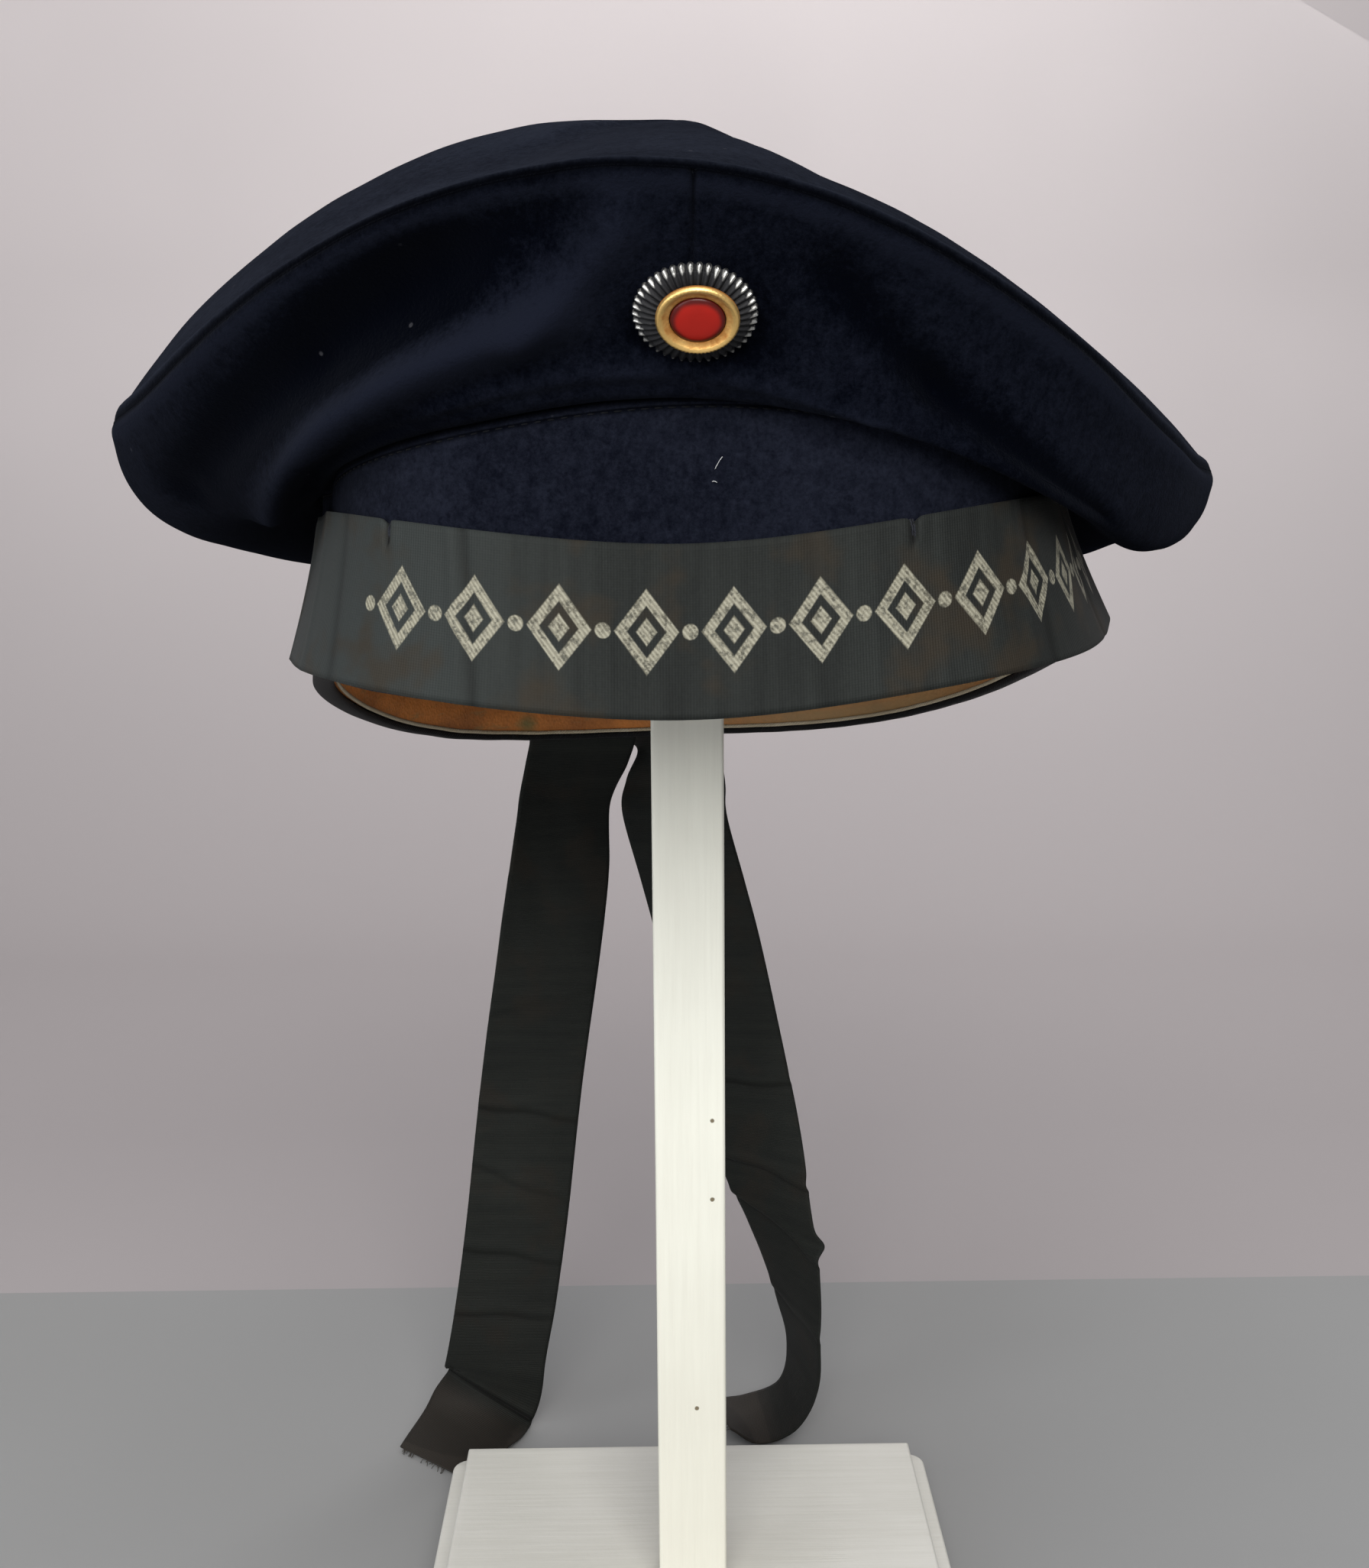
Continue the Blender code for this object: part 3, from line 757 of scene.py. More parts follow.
@dataclass(frozen=True)
class RibbedSilk:
    """Faded ribbed ribbon, with a woven ornament where one is asked for."""

    dark: Colour = (0.0080, 0.0090, 0.0085)
    light: Colour = (0.0225, 0.0255, 0.0235)
    rust: Colour = (0.0300, 0.0215, 0.0125)
    thread: Colour = (0.36, 0.345, 0.27)
    thread_shade: Colour = (0.13, 0.12, 0.085)
    shade_and_darkening: Colour = (0.0030, 0.0030, 0.0028)
    rubbed: Colour = (0.030, 0.0245, 0.0200)
    rib_pitch: float = 0.00052
    weft_pitch: float = 0.00045
    strand_pitch: float = 0.0009
    cell: float = 0.0150
    lozenge_half: tuple[float, float] = (0.0056, 0.0074)
    ornament_from: float = 0.0
    ornament_to: float = 0.0
    pale_tone: Colour = (0.0310, 0.0360, 0.0355)
    pale_from: float = -10.0

    def ornament(self, along: Value, across: Value) -> Value:
        """Mask of the woven row of lozenges and dots.

        Args:
            along: Metres along the ribbon from the front.
            across: Metres up from the ribbon's middle.

        Returns:
            1 on the metal thread and 0 elsewhere.
        """
        place = (((along - self.ornament_from) / self.cell).fraction() - 0.5) * self.cell
        half_width, half_height = self.lozenge_half
        lozenge = abs(place) / half_width + abs(across) / half_height
        frame_line = abs(lozenge - 0.80).rise(0.23, 0.16)
        heart = lozenge.rise(0.36, 0.28)
        edge = self.cell / 2 - abs(place)
        dot = (edge * edge + across * across).rise(0.0015 ** 2, 0.0012 ** 2)
        inside = along.rise(self.ornament_from - 0.0019, self.ornament_from - 0.0016)
        inside = inside * along.rise(self.ornament_to + 0.0019, self.ornament_to + 0.0016)
        return frame_line.most(heart).most(dot) * inside

    def build(self, name: str) -> Material:
        """Material of the ribbon.

        Args:
            name: Name of the material.

        Returns:
            The material.
        """
        graph = Graph(name)
        along, across = graph.mark("along"), graph.mark("across")
        ribs, weft = along.wave(self.rib_pitch), across.wave(self.weft_pitch)
        fade = graph.noise(26.0, 3.0, 0.55)
        streaks = graph.noise(1.0, 3.0, 0.6, graph.node(
            "ShaderNodeCombineXYZ", None, {0: along * 420.0, 1: across * 26.0, 2: fade * 0.6}))
        fuzz = graph.noise(1500.0, 2.0, 0.6)
        tone = fade * 0.50 + streaks * 0.45 + ribs * 0.07 + fuzz * 0.20 - 0.15
        # Paler from pale_from leftwards round the band.
        pale = along.rise(self.pale_from + 0.02, self.pale_from - 0.04)
        tone = tone + pale * 0.50
        cloth = graph.mix(tone.rise(0.12, 0.88), self.dark, self.light)
        cloth = graph.mix(pale * (0.45 + streaks * 0.5), cloth, self.pale_tone)
        stain = graph.noise(60.0, 3.0, 0.6).rise(0.50, 0.68)
        cloth = graph.mix(stain * 0.6, cloth, self.rust)
        cloth = graph.mix(graph.mark("rubbed") * 0.75, cloth, self.rubbed)
        # Painted shade in valley creases, tack dimples and the folded end, and darker towards the
        # table on the free ends.
        cloth = graph.mix(graph.mark("shade_and_darkening"), cloth, self.shade_and_darkening)
        height = ribs * 0.45 + weft * 0.15 + fuzz * 0.35
        rough: Operand = 0.78 - tone * 0.10
        if self.ornament_to > self.ornament_from:
            mask = self.ornament(along, across)
            strands = (along + across * 0.8).wave(self.strand_pitch)
            worn = graph.noise(900.0, 3.0, 0.7).rise(0.32, 0.56)
            mask = mask * (0.30 + worn * 0.70)
            bright = graph.mix(strands * 0.50 + fuzz * 0.35, self.thread, self.thread_shade)
            cloth = graph.mix(mask, cloth, bright)
            height = height * (1.0 - mask) + mask * (1.3 + strands * 0.6)
            rough = rough - mask * 0.2
        return graph.finish(Base_Color=cloth, Roughness=rough, Sheen_Weight=0.025,
                            Sheen_Roughness=0.4, Specular_IOR_Level=0.15,
                            Normal=graph.bump(height, 0.00014, 0.8))


@dataclass(frozen=True)
class Leather:
    """Worn orange-brown leather with a pale, rubbed lower edge."""

    dark: Colour = (0.280, 0.090, 0.013)
    light: Colour = (0.720, 0.250, 0.045)
    tan: Colour = (0.27, 0.20, 0.085)
    olive: Colour = (0.17, 0.16, 0.05)

    def build(self, name: str) -> Material:
        """Material of the leather.

        Args:
            name: Name of the material.

        Returns:
            The material.
        """
        graph = Graph(name)
        clouds = graph.noise(55.0, 4.0, 0.65)
        grain = graph.cells(1150.0)
        fine = graph.noise(1500.0, 3.0, 0.6)
        scuffs = graph.noise(120.0, 3.0, 0.6, graph.scaled_place((1.0, 1.0, 3.5))).rise(0.56, 0.72)
        hide = graph.mix((clouds * 0.8 + fine * 0.25).rise(0.25, 0.80), self.dark, self.light)
        hide = graph.mix(scuffs * 0.45, hide, self.tan)
        hide = graph.mix(graph.mark("bleach"), hide, self.tan)
        hide = graph.mix(graph.mark("patch") * 0.85, hide, self.olive)
        height = grain * 0.6 + fine * 0.3 + clouds * 0.5
        return graph.finish(Base_Color=hide, Roughness=0.46 + clouds * 0.22 + scuffs * 0.12,
                            Specular_IOR_Level=0.5,
                            Normal=graph.bump(height, 0.00030, 0.7))


@dataclass(frozen=True)
class Tape:
    """Folded twill tape of one colour."""

    colour: Colour = (0.0016, 0.0016, 0.0020)
    worn: Colour = (0.0070, 0.0070, 0.0085)
    pitch: float = 0.0009

    def build(self, name: str) -> Material:
        """Material of the tape.

        Args:
            name: Name of the material.

        Returns:
            The material.
        """
        graph = Graph(name)
        along, across = graph.mark("along"), graph.mark("across")
        twill = (along + across).wave(self.pitch)
        cross = (along - across * 0.4).wave(self.pitch * 0.6)
        rub = graph.noise(140.0, 3.0, 0.6)
        cloth = graph.mix((rub * 0.9 + twill * 0.25).rise(0.45, 0.95), self.colour, self.worn)
        return graph.finish(Base_Color=cloth, Roughness=0.62 + twill * 0.12, Sheen_Weight=0.02,
                            Specular_IOR_Level=0.22,
                            Normal=graph.bump(twill * 0.7 + cross * 0.3, 0.00018, 0.8))


@dataclass(frozen=True)
class Thread:
    """Twisted sewing thread."""

    colour: Colour = (0.010, 0.011, 0.015)
    light: Colour = (0.030, 0.032, 0.040)

    def build(self, name: str) -> Material:
        """Material of the thread.

        Args:
            name: Name of the material.

        Returns:
            The material.
        """
        graph = Graph(name)
        twist = graph.noise(2600.0, 2.0, 0.6, graph.scaled_place((1.0, 1.0, 2.2)))
        return graph.finish(Base_Color=graph.mix(twist.rise(0.35, 0.7), self.colour, self.light),
                            Roughness=0.8, Sheen_Weight=0.02, Specular_IOR_Level=0.15,
                            Normal=graph.bump(twist, 0.00012, 0.8))


@dataclass(frozen=True)
class TarnishedMetal:
    """Pressed metal that is dark in its hollows."""

    bright: Colour
    dull: Colour
    rough: float = 0.30

    def build(self, name: str) -> Material:
        """Material of the metal.

        Args:
            name: Name of the material.

        Returns:
            The material.
        """
        graph = Graph(name)
        stain = graph.noise(420.0, 3.0, 0.65)
        fine = graph.noise(2400.0, 2.0, 0.6)
        # The hollow mark carries tarnish in the hollows and, on the backing plate, painted shade
        # on its lower part.
        dark = (graph.mark("hollow") * 0.9 + (stain - 0.45) * 0.9).rise(0.10, 0.70)
        return graph.finish(Base_Color=graph.mix(dark, self.bright, self.dull),
                            Metallic=1.0 - dark * 0.35, Roughness=self.rough + dark * 0.35,
                            Normal=graph.bump(fine + stain, 0.00008, 0.6))


@dataclass(frozen=True)
class Enamel:
    """Glossy opaque enamel, a little scratched."""

    colour: Colour = (0.36, 0.0100, 0.0045)
    # Dark red of the painted shade round the dome's rim.
    rim_shade_and_mottle: Colour = (0.075, 0.004, 0.003)

    def build(self, name: str) -> Material:
        """Material of the enamel.

        Args:
            name: Name of the material.

        Returns:
            The material.
        """
        graph = Graph(name)
        clouds = graph.noise(300.0, 2.0, 0.5)
        scratch = graph.noise(900.0, 2.0, 0.6, graph.scaled_place((0.2, 1.0, 2.0)))
        # Painted shade round the dome's rim, next to the ring, from the hollow mark, with random
        # mottle.
        rim_shade_and_mottle = graph.mark("hollow") * 1.3 + (0.6 - clouds) * 0.6
        return graph.finish(Base_Color=graph.mix(rim_shade_and_mottle.rise(0.0, 1.0), self.colour, self.rim_shade_and_mottle),
                            Roughness=0.32 + scratch.rise(0.55, 0.75) * 0.2, Coat_Weight=0.15,
                            Coat_Roughness=0.15, Specular_IOR_Level=0.25,
                            Normal=graph.bump(scratch, 0.00006, 0.5))


@dataclass(frozen=True)
class PaintedWood:
    """Brushed off-white paint over wood, rubbed at its edges."""

    paint: Colour = (0.78, 0.78, 0.695)
    shade: Colour = (0.71, 0.705, 0.625)
    dark_tone: Colour = (0.52, 0.48, 0.39)
    speck: Colour = (0.16, 0.13, 0.08)
    grain_stretch: Triple = (1.0, 1.0, 0.035)
    specks: Rows = ()
    foot_darkening: float = 0.0

    def build(self, name: str) -> Material:
        """Material of the painted wood.

        Args:
            name: Name of the material.

        Returns:
            The material.
        """
        graph = Graph(name)
        brush = graph.noise(900.0, 4.0, 0.6, graph.scaled_place(self.grain_stretch))
        clouds = graph.noise(22.0, 3.0, 0.55)
        dust = graph.noise(260.0, 4.0, 0.7)
        tone = (clouds * 0.55 + brush * 0.45).rise(0.30, 0.72)
        coat = graph.mix(tone, self.shade, self.paint)
        # Darker towards the foot of the post.
        if self.foot_darkening > 0.0:
            low = graph.height().rise(0.15, 0.03)
            coat = graph.mix(low * self.foot_darkening, coat, self.dark_tone)
        chips = (graph.mark("wear") * 0.55 + (dust - 0.5) * 0.9).rise(0.55, 0.85)
        coat = graph.mix(chips * 0.45, coat, self.dark_tone)
        for spot in self.specks:
            away = graph.node("ShaderNodeVectorMath", {"operation": "DISTANCE"},
                              {0: graph.place, 1: spot}, output=1)
            coat = graph.mix((away + (dust - 0.5) * 0.0006).rise(0.00065, 0.00040), coat,
                             self.speck)
        height = brush * 0.6 + dust * 0.3 - chips * 0.5
        return graph.finish(Base_Color=coat, Roughness=0.42 + dust * 0.18 + chips * 0.2,
                            Specular_IOR_Level=0.45,
                            Normal=graph.bump(height, 0.00022, 0.6))


@dataclass(frozen=True)
class PlainSurface:
    """Quiet matt surface for the table and for the paper, with painted shade towards its foot."""

    colour: Colour
    other: Colour
    foot_shade: float = 1.0

    def build(self, name: str) -> Material:
        """Material of the surface.

        Args:
            name: Name of the material.

        Returns:
            The material.
        """
        graph = Graph(name)
        clouds = graph.noise(3.0, 2.0, 0.5)
        fine = graph.noise(500.0, 2.0, 0.5)
        tone = graph.mix(clouds.rise(0.3, 0.7), self.colour, self.other)
        # Painted shade that darkens the paper towards its foot.
        if self.foot_shade < 1.0:
            low = tuple(part * self.foot_shade for part in self.other)
            tone = graph.mix(graph.height().rise(0.42, 0.02), tone, low)
        return graph.finish(Base_Color=tone, Roughness=0.75, Specular_IOR_Level=0.2,
                            Normal=graph.bump(fine, 0.00005, 0.4))


def spline_controls(values: Sequence[float]) -> Array:
    """Control values of a closed uniform cubic B-spline.

    Args:
        values: Values that the spline passes through.

    Returns:
        As many control values.
    """
    count = len(values)
    matrix = np.zeros((count, count))
    for row in range(count):
        matrix[row, row] = 4.0 / 6.0
        matrix[row, (row + 1) % count] = 1.0 / 6.0
        matrix[row, (row - 1) % count] = 1.0 / 6.0
    return np.linalg.solve(matrix, np.asarray(values, dtype=float))


def bezier(t: Array, first: Array, low: Array, high: Array,
           last: Array) -> Array:
    """Cubic curve from its ends and two handles."""
    return ((1 - t) ** 3 * first + 3 * (1 - t) ** 2 * t * low
            + 3 * (1 - t) * t ** 2 * high + t ** 3 * last)


def through_four(u: Array, a: float, b: Array, c: Array,
                 d: Array) -> Array:
    """Cubic through four values at u = 0, 1, 2 and 3."""
    first, second, third = b - a, c - b, d - c
    return (a + first * u + (second - first) * u * (u - 1) / 2
            + (third - 2 * second + first) * u * (u - 1) * (u - 2) / 6)


@dataclass
class CapForm:
    """Shape of the cloth from the table of sections."""

    front_seam: float = 0.0
    back_seam: float = 180.0
    coarse_steps: int = 72
    coarse_disc: tuple[float, ...] = (1.0, 0.86, 0.71, 0.56, 0.41, 0.26, 0.14, 0.06, 0.0)
    badge_azimuth: float = 0.2
    badge_level: float = 1.67
    badge_tilt: float = 14.0
    controls: dict[str, Array] = field(default_factory=dict)
    coarse_levels: Array = field(init=False)
    coarse_outer: Array = field(init=False)
    plain_normals: Array = field(init=False)
    outer_normals: Array = field(init=False)

    def __post_init__(self) -> None:
        """Work out the splines and the coarse normals of the solids' cloth."""
        for index, name in enumerate(SECTION_COLUMNS[1:], start=1):
            self.controls[name] = spline_controls([row[index] for row in SECTIONS])
        azimuths = np.arange(self.coarse_steps) * 360.0 / self.coarse_steps
        self.coarse_levels = np.concatenate([np.linspace(0.0, 1.0, 4)[:-1],
                                             np.linspace(1.0, 2.0, 10)[:-1],
                                             3.0 - np.array(self.coarse_disc)])
        azimuth, level = np.meshgrid(azimuths, self.coarse_levels, indexing="ij")
        plain = self.plain(azimuth, level)
        self.plain_normals = self.grid_normals(plain)
        folds = self.fold_height(azimuth, level, SOLID_FOLDS)[..., None]
        self.coarse_outer = plain + self.plain_normals * folds
        self.outer_normals = self.grid_normals(self.coarse_outer)

    def section(self, name: str, azimuth: Array) -> Array:
        """Value of one column of the table at any azimuth.

        Args:
            name: Column.
            azimuth: Degrees.

        Returns:
            The column's value at each azimuth.
        """
        controls = self.controls[name]
        count = len(controls)
        place = (np.asarray(azimuth, dtype=float) % 360.0) * count / 360.0
        start = np.floor(place).astype(int)
        t = place - start
        weights = ((1 - t) ** 3 / 6, (3 * t ** 3 - 6 * t ** 2 + 4) / 6,
                   (-3 * t ** 3 + 3 * t ** 2 + 3 * t + 1) / 6, t ** 3 / 6)
        return sum(weight * controls[(start + shift) % count]
                   for weight, shift in zip(weights, (-1, 0, 1, 2)))

    def plain(self, azimuth: Array, level: Array) -> Array:
        """Points of the cloth before folds, for level 0 (rim) to 3 (crown's top).

        Args:
            azimuth: Degrees.
            level: Place up the cloth.

        Returns:
            Points in millimetres.
        """
        value = {name: self.section(name, azimuth) for name in self.controls}
        band, panel, disc = clamp(level), clamp(level - 1.0), clamp(3.0 - level)
        band_r = value["band_r"] + (value["seam_r"] - value["band_r"]) * band
        band_z = value["rim_z"] + (value["seam_z"] - value["rim_z"]) * band
        handles = ("seam", "low", "high", "edge")
        panel_r = bezier(panel, *(value[f"{name}_r"] for name in handles))
        panel_z = bezier(panel, *(value[f"{name}_z"] for name in handles))
        disc_r = value["edge_r"] * disc
        soft = np.hypot(disc_r, CROWN_SOFTNESS) - CROWN_SOFTNESS
        reach = np.hypot(value["edge_r"], CROWN_SOFTNESS) - CROWN_SOFTNESS
        disc_z = through_four(3.0 * soft / reach, CROWN_TOP, value["inner_z"],
                              value["outer_z"], value["edge_z"])
        radius = np.where(level <= 1.0, band_r, np.where(level <= 2.0, panel_r, disc_r))
        height = np.where(level <= 1.0, band_z, np.where(level <= 2.0, panel_z, disc_z))
        return around_axis(radius, azimuth, height)

    @staticmethod
    def fold_height(azimuth: Array, level: Array,
                    folds: Sequence[Sequence[float]]) -> Array:
        """Height of soft folds at a place on the cloth.

        Args:
            azimuth: Degrees.
            level: Place up the cloth.
            folds: Rows of a fold table.

        Returns:
            Height of all the folds together.
        """
        total = 0.0 * azimuth
        for from_azimuth, from_level, to_azimuth, to_level, half_width, height in folds:
            run_x = math.radians(to_azimuth - from_azimuth) * FOLD_ARC_RADIUS
            run_y = (to_level - from_level) * FOLD_LEVEL_SPAN
            length = math.hypot(run_x, run_y)
            x = np.radians(turn_from(azimuth, from_azimuth)) * FOLD_ARC_RADIUS
            y = (level - from_level) * FOLD_LEVEL_SPAN
            share = np.clip((x * run_x + y * run_y) / length, 0.0, length) / length
            distance = np.hypot(x - share * run_x, y - share * run_y)
            total = total + bump_at(distance, half_width, height)
        return total

    @staticmethod
    def grid_normals(points: Array) -> Array:
        """Outward normals of a grid that closes round the axis.

        Args:
            points: Grid whose columns rise.

        Returns:
            Unit vector at each point.
        """
        around = np.roll(points, -1, axis=0) - np.roll(points, 1, axis=0)
        faces = unit(np.cross(around[:, 1:] + around[:, :-1], points[:, 1:] - points[:, :-1]))
        normals = np.zeros_like(points)
        normals[:, :-1] += faces
        normals[:, 1:] += faces
        normals[:, -1] = (0.0, 0.0, 1.0)
        return unit(normals)

    def between(self, coarse: Array, azimuth: Array, level: Array) -> Array:
        """Directions between those of the coarse grid.

        Args:
            coarse: Unit vectors on the coarse grid.
            azimuth: Degrees of the fine grid.
            level: Levels of the fine grid.

        Returns:
            Unit vectors on the fine grid.
        """
        place = (azimuth % 360.0) * self.coarse_steps / 360.0
        start = np.floor(place).astype(int) % self.coarse_steps
        share = (place - np.floor(place))[..., None]
        row = np.clip(np.searchsorted(self.coarse_levels, level, side="right") - 1, 0,
                      len(self.coarse_levels) - 2)
        low, high = self.coarse_levels[row], self.coarse_levels[row + 1]
        climb = ((level - low) / (high - low))[..., None]
        after = (start + 1) % self.coarse_steps
        lower = coarse[start, row] * (1 - share) + coarse[after, row] * share
        upper = coarse[start, row + 1] * (1 - share) + coarse[after, row + 1] * share
        return unit(lower * (1 - climb) + upper * climb)

    def line(self, name: str, azimuth: Array) -> Array:
        """Points of the band's rim or seam at the given degrees."""
        radius, height = RING_COLUMNS[name]
        return around_axis(self.section(radius, azimuth), azimuth, self.section(height, azimuth))

    def band_wall(self, azimuth: Array) -> tuple[Array, Array, Array]:
        """Line of the band's rim and the directions from it.

        Args:
            azimuth: Degrees, in order round the band.

        Returns:
            Points of the outer rim, unit vectors up the band, and unit vectors outwards.
        """
        rim = self.line("rim", azimuth)
        up = unit(self.line("seam", azimuth) - rim)
        step = 2.5
        along = self.line("rim", azimuth + step) - self.line("rim", azimuth - step)
        return rim, up, unit(np.cross(unit(along), up))

    def badge_frame(self, across: float, rise_reach: float) -> tuple[Array, ...]:
        """Centre and unit axes of the badge on the front of the side panels.

        Args:
            across: Half width of the badge.
            rise_reach: Half height of the badge.

        Returns:
            Centre, then the directions across, up and out.
        """
        place = {}
        for key, turn, climb in (("centre", 0.0, 0.0), ("right", 1.0, 0.0), ("up", 0.0, 0.04)):
            place[key] = self.plain(np.array([self.badge_azimuth + turn]),
                                    np.array([self.badge_level + climb]))[0]
        rise = unit(place["up"] - place["centre"])
        face = unit(np.cross(place["right"] - place["centre"], rise))
        tilt = math.radians(self.badge_tilt)
        up = rise * math.cos(tilt) + face * math.sin(tilt)
        out = face * math.cos(tilt) - rise * math.sin(tilt)
        right = np.cross(up, out)
        outer = self.coarse_outer
        halves = (outer[:, :-1] + outer[:, 1:]) / 2
        near = np.concatenate([outer.reshape(-1, 3), halves.reshape(-1, 3)]) - place["centre"]
        inside = np.hypot(near @ right / (across + 0.5), near @ up / (rise_reach + 0.5)) < 1.0
        inside &= np.abs(near @ out) < across
        return place["centre"] + out * ((near @ out)[inside].max() + GAP), right, up, out


@dataclass
class Crown:
    """Top disc and the two side panels, with their seams.

    Rows of a seam's relief or shade hold a distance from it, a half width and a height.
    """

    form: CapForm
    wool: Material
    # Lighter copy of the wool for the disc, painted light on its lit top.
    lit_disc_wool: Material
    azimuth_steps: int = 480
    panel_levels: int = 54
    disc_levels: int = 76
    disc_edge: Rows = ((0.0, 1.0, -1.05), (2.6, 1.5, 0.90), (5.0, 1.2, -0.35))
    panel_edge: Rows = ((0.0, 1.0, -1.05), (2.6, 1.5, 0.55))
    panel_foot: Rows = ((0.0, 0.7, -0.8), (3.2, 1.5, 0.5))
    upright_seam: Rows = ((0.0, 0.5, -0.55), (1.8, 1.1, 0.12))
    disc_shade: Rows = ((0.0, 1.25, 1.0), (5.0, 0.9, 0.35))
    unevenness: Waves = ((34.0, 11, 0.30), (12.0, 12, 0.07))
    end_softness: float = 0.90
    end_reach: float = 17.0
    upright_from: float = 1.55
    front_seam_from: float = 322.0
    # Painted fold shading: fold height for full shade or highlight, paler seam rolls (painted
    # highlight and rubbed nap), extra shade in hollows, and shade low on the side panels away from
    # the front.
    full_fold_shade: float = 4.0
    roll_highlight_and_wear: float = 0.9
    hollow_shade_gain: float = 1.6
    under_shade_azimuth: float = 16.0
    under_shade_level: float = 1.60

    def azimuths(self) -> Array:
        """Azimuths of the grid's lines, closer together next to the two upright seams.

        Returns:
            Degrees in order, without the closing one.
        """
        plain = np.arange(self.azimuth_steps) * 360.0 / self.azimuth_steps
        close = np.array([0.1, 0.2, 0.32, 0.46, 0.6])
        extra = [seam + side * close for seam in (self.form.front_seam, self.form.back_seam)
                 for side in (-1, 1)]
        return np.unique(np.round(np.concatenate([plain, *extra]) % 360.0, 4))

    def levels(self) -> tuple[Array, Array]:
        """Levels of the grid's lines, closer together next to the seams.

        Returns:
            Levels of the panels and of the disc.
        """
        near = np.array([0.0, 0.004, 0.008, 0.013, 0.019, 0.027, 0.037])
        panel = np.concatenate([near, np.linspace(0.05, 0.95, self.panel_levels),
                                1.0 - near[::-1]])
        rim = np.array([0.0, 0.002, 0.004, 0.0065, 0.009, 0.012, 0.016, 0.021, 0.027])
        disc = np.concatenate([rim, np.linspace(0.035, 1.0, self.disc_levels)])
        return 1.0 + panel, 2.0 + disc

    @staticmethod
    def arcs(points: Array, on_disc: bool) -> tuple[Array, Array]:
        """Distances along the columns of a grid.

        Args:
            points: Grid whose columns rise.
            on_disc: Whether the grid is the disc, which starts at the edge seam.

        Returns:
            Distance from the column's start, and distance from the edge seam.
        """
        arc = travel(points, axis=1)
        return arc, arc if on_disc else arc[:, -1:] - arc

    def relief(self, azimuth: Array, level: Array, points: Array) -> Array:
        """Fine relief of the cloth over its folds.

        Args:
            azimuth: Degrees.
            level: Levels, which rise along the second axis.
            points: Plain points of the grid.

        Returns:
            Height along the outward normal.
        """
        on_disc = level[0, 0] >= 2.0
        arc, to_edge = self.arcs(points, on_disc)
        height = ripples(points, self.unevenness)
        sides = np.minimum(np.abs(azimuth - 90.0), np.abs(azimuth - 270.0))
        seen_along = 1.0 - bump_at(sides, self.end_reach, self.end_softness)
        height += seen_along * bumps_at(to_edge, self.disc_edge if on_disc else self.panel_edge)
        if not on_disc:
            height += bumps_at(arc, self.panel_foot)
            radius = np.hypot(points[..., 0], points[..., 1])
            drawn = np.clip((level - self.upright_from) / 0.25, 0.15, 1.0)
            for seam in (self.form.front_seam, self.form.back_seam):
                off = np.radians(np.abs(turn_from(azimuth, seam))) * radius
                height += drawn * bumps_at(off, self.upright_seam)
        return height

    def shade(self, points: Array, on_disc: bool) -> Array:
        """Darkness of the cloth in the grooves of its seams.

        Args:
            points: Outer face, whose columns rise.
            on_disc: Whether the grid is the disc, which starts at the edge seam.

        Returns:
            Value from 0 to 1 for each point.
        """
        arc, to_edge = self.arcs(points, on_disc)
        if on_disc:
            dark = bumps_at(to_edge, self.disc_shade)
        else:
            dark = bump_at(to_edge, 1.25) + bump_at(arc, 0.9, 0.9)
            front = np.where(points[..., 1] < 0.0, np.abs(points[..., 0]), 9.0)
            above = points[..., 2] - self.front_seam_from
            dark += bump_at(front, 0.35, 0.7) * clamp(above / 6.0)
        return np.clip(dark, 0.0, 0.95)

    def painted_fold_shading(self, azimuths: Array, levels: Array,
                 points: Array) -> Array:
        """Painted shade in hollows and low on side panels; painted highlight on folds and seam
        rolls.

        Args:
            azimuths: Degrees of the rows.
            levels: Levels of the columns.
            points: Outer face.

        Returns:
            Value from -1 to 1 for each point of the grid.
        """
        azimuth, level = np.meshgrid(azimuths, levels, indexing="ij")
        # Painted shade in the hollows between folds, made darker still, and painted highlight on
        # the folds.
        folds = self.form.fold_height(azimuth, level, SOLID_FOLDS + FINE_FOLDS)
        folds = np.where(folds < 0.0, folds * self.hollow_shade_gain, folds)
        turn = np.abs(turn_from(azimuth, self.form.front_seam))
        # Painted shade low on the side panels, away from the front seam.
        under_shade = clamp(turn / self.under_shade_azimuth - 1.0) * clamp((self.under_shade_level - level) / 0.35)
        _, to_edge = self.arcs(points, levels[0] >= 2.0)
        # Paler seam roll: painted highlight and rubbed nap.
        rolled = bump_at(to_edge - 2.9, 1.5, self.roll_highlight_and_wear)
        return np.clip(folds / self.full_fold_shade - under_shade + rolled, -1.0, 1.0)

    def grids(self, azimuths: Array, levels: Array) -> tuple[Array, Array]:
        """Outer and inner faces of a part of the crown.

        Args:
            azimuths: Degrees of the rows.
            levels: Levels of the columns.

        Returns:
            Outer grid and inner grid.
        """
        azimuth, level = np.meshgrid(azimuths, levels, indexing="ij")
        plain = self.form.plain(azimuth, level)
        normals = self.form.between(self.form.plain_normals, azimuth, level)
        folds = self.form.fold_height(azimuth, level, SOLID_FOLDS)[..., None]
        base = plain + normals * folds
        outward = self.form.between(self.form.outer_normals, azimuth, level)
        inner = base - outward * CLOTH
        soft = self.form.fold_height(azimuth, level, FINE_FOLDS)
        outer = base + outward * (soft + self.relief(azimuth, level, plain))[..., None]
        inner = inner + outward * soft[..., None]
        return outer, inner

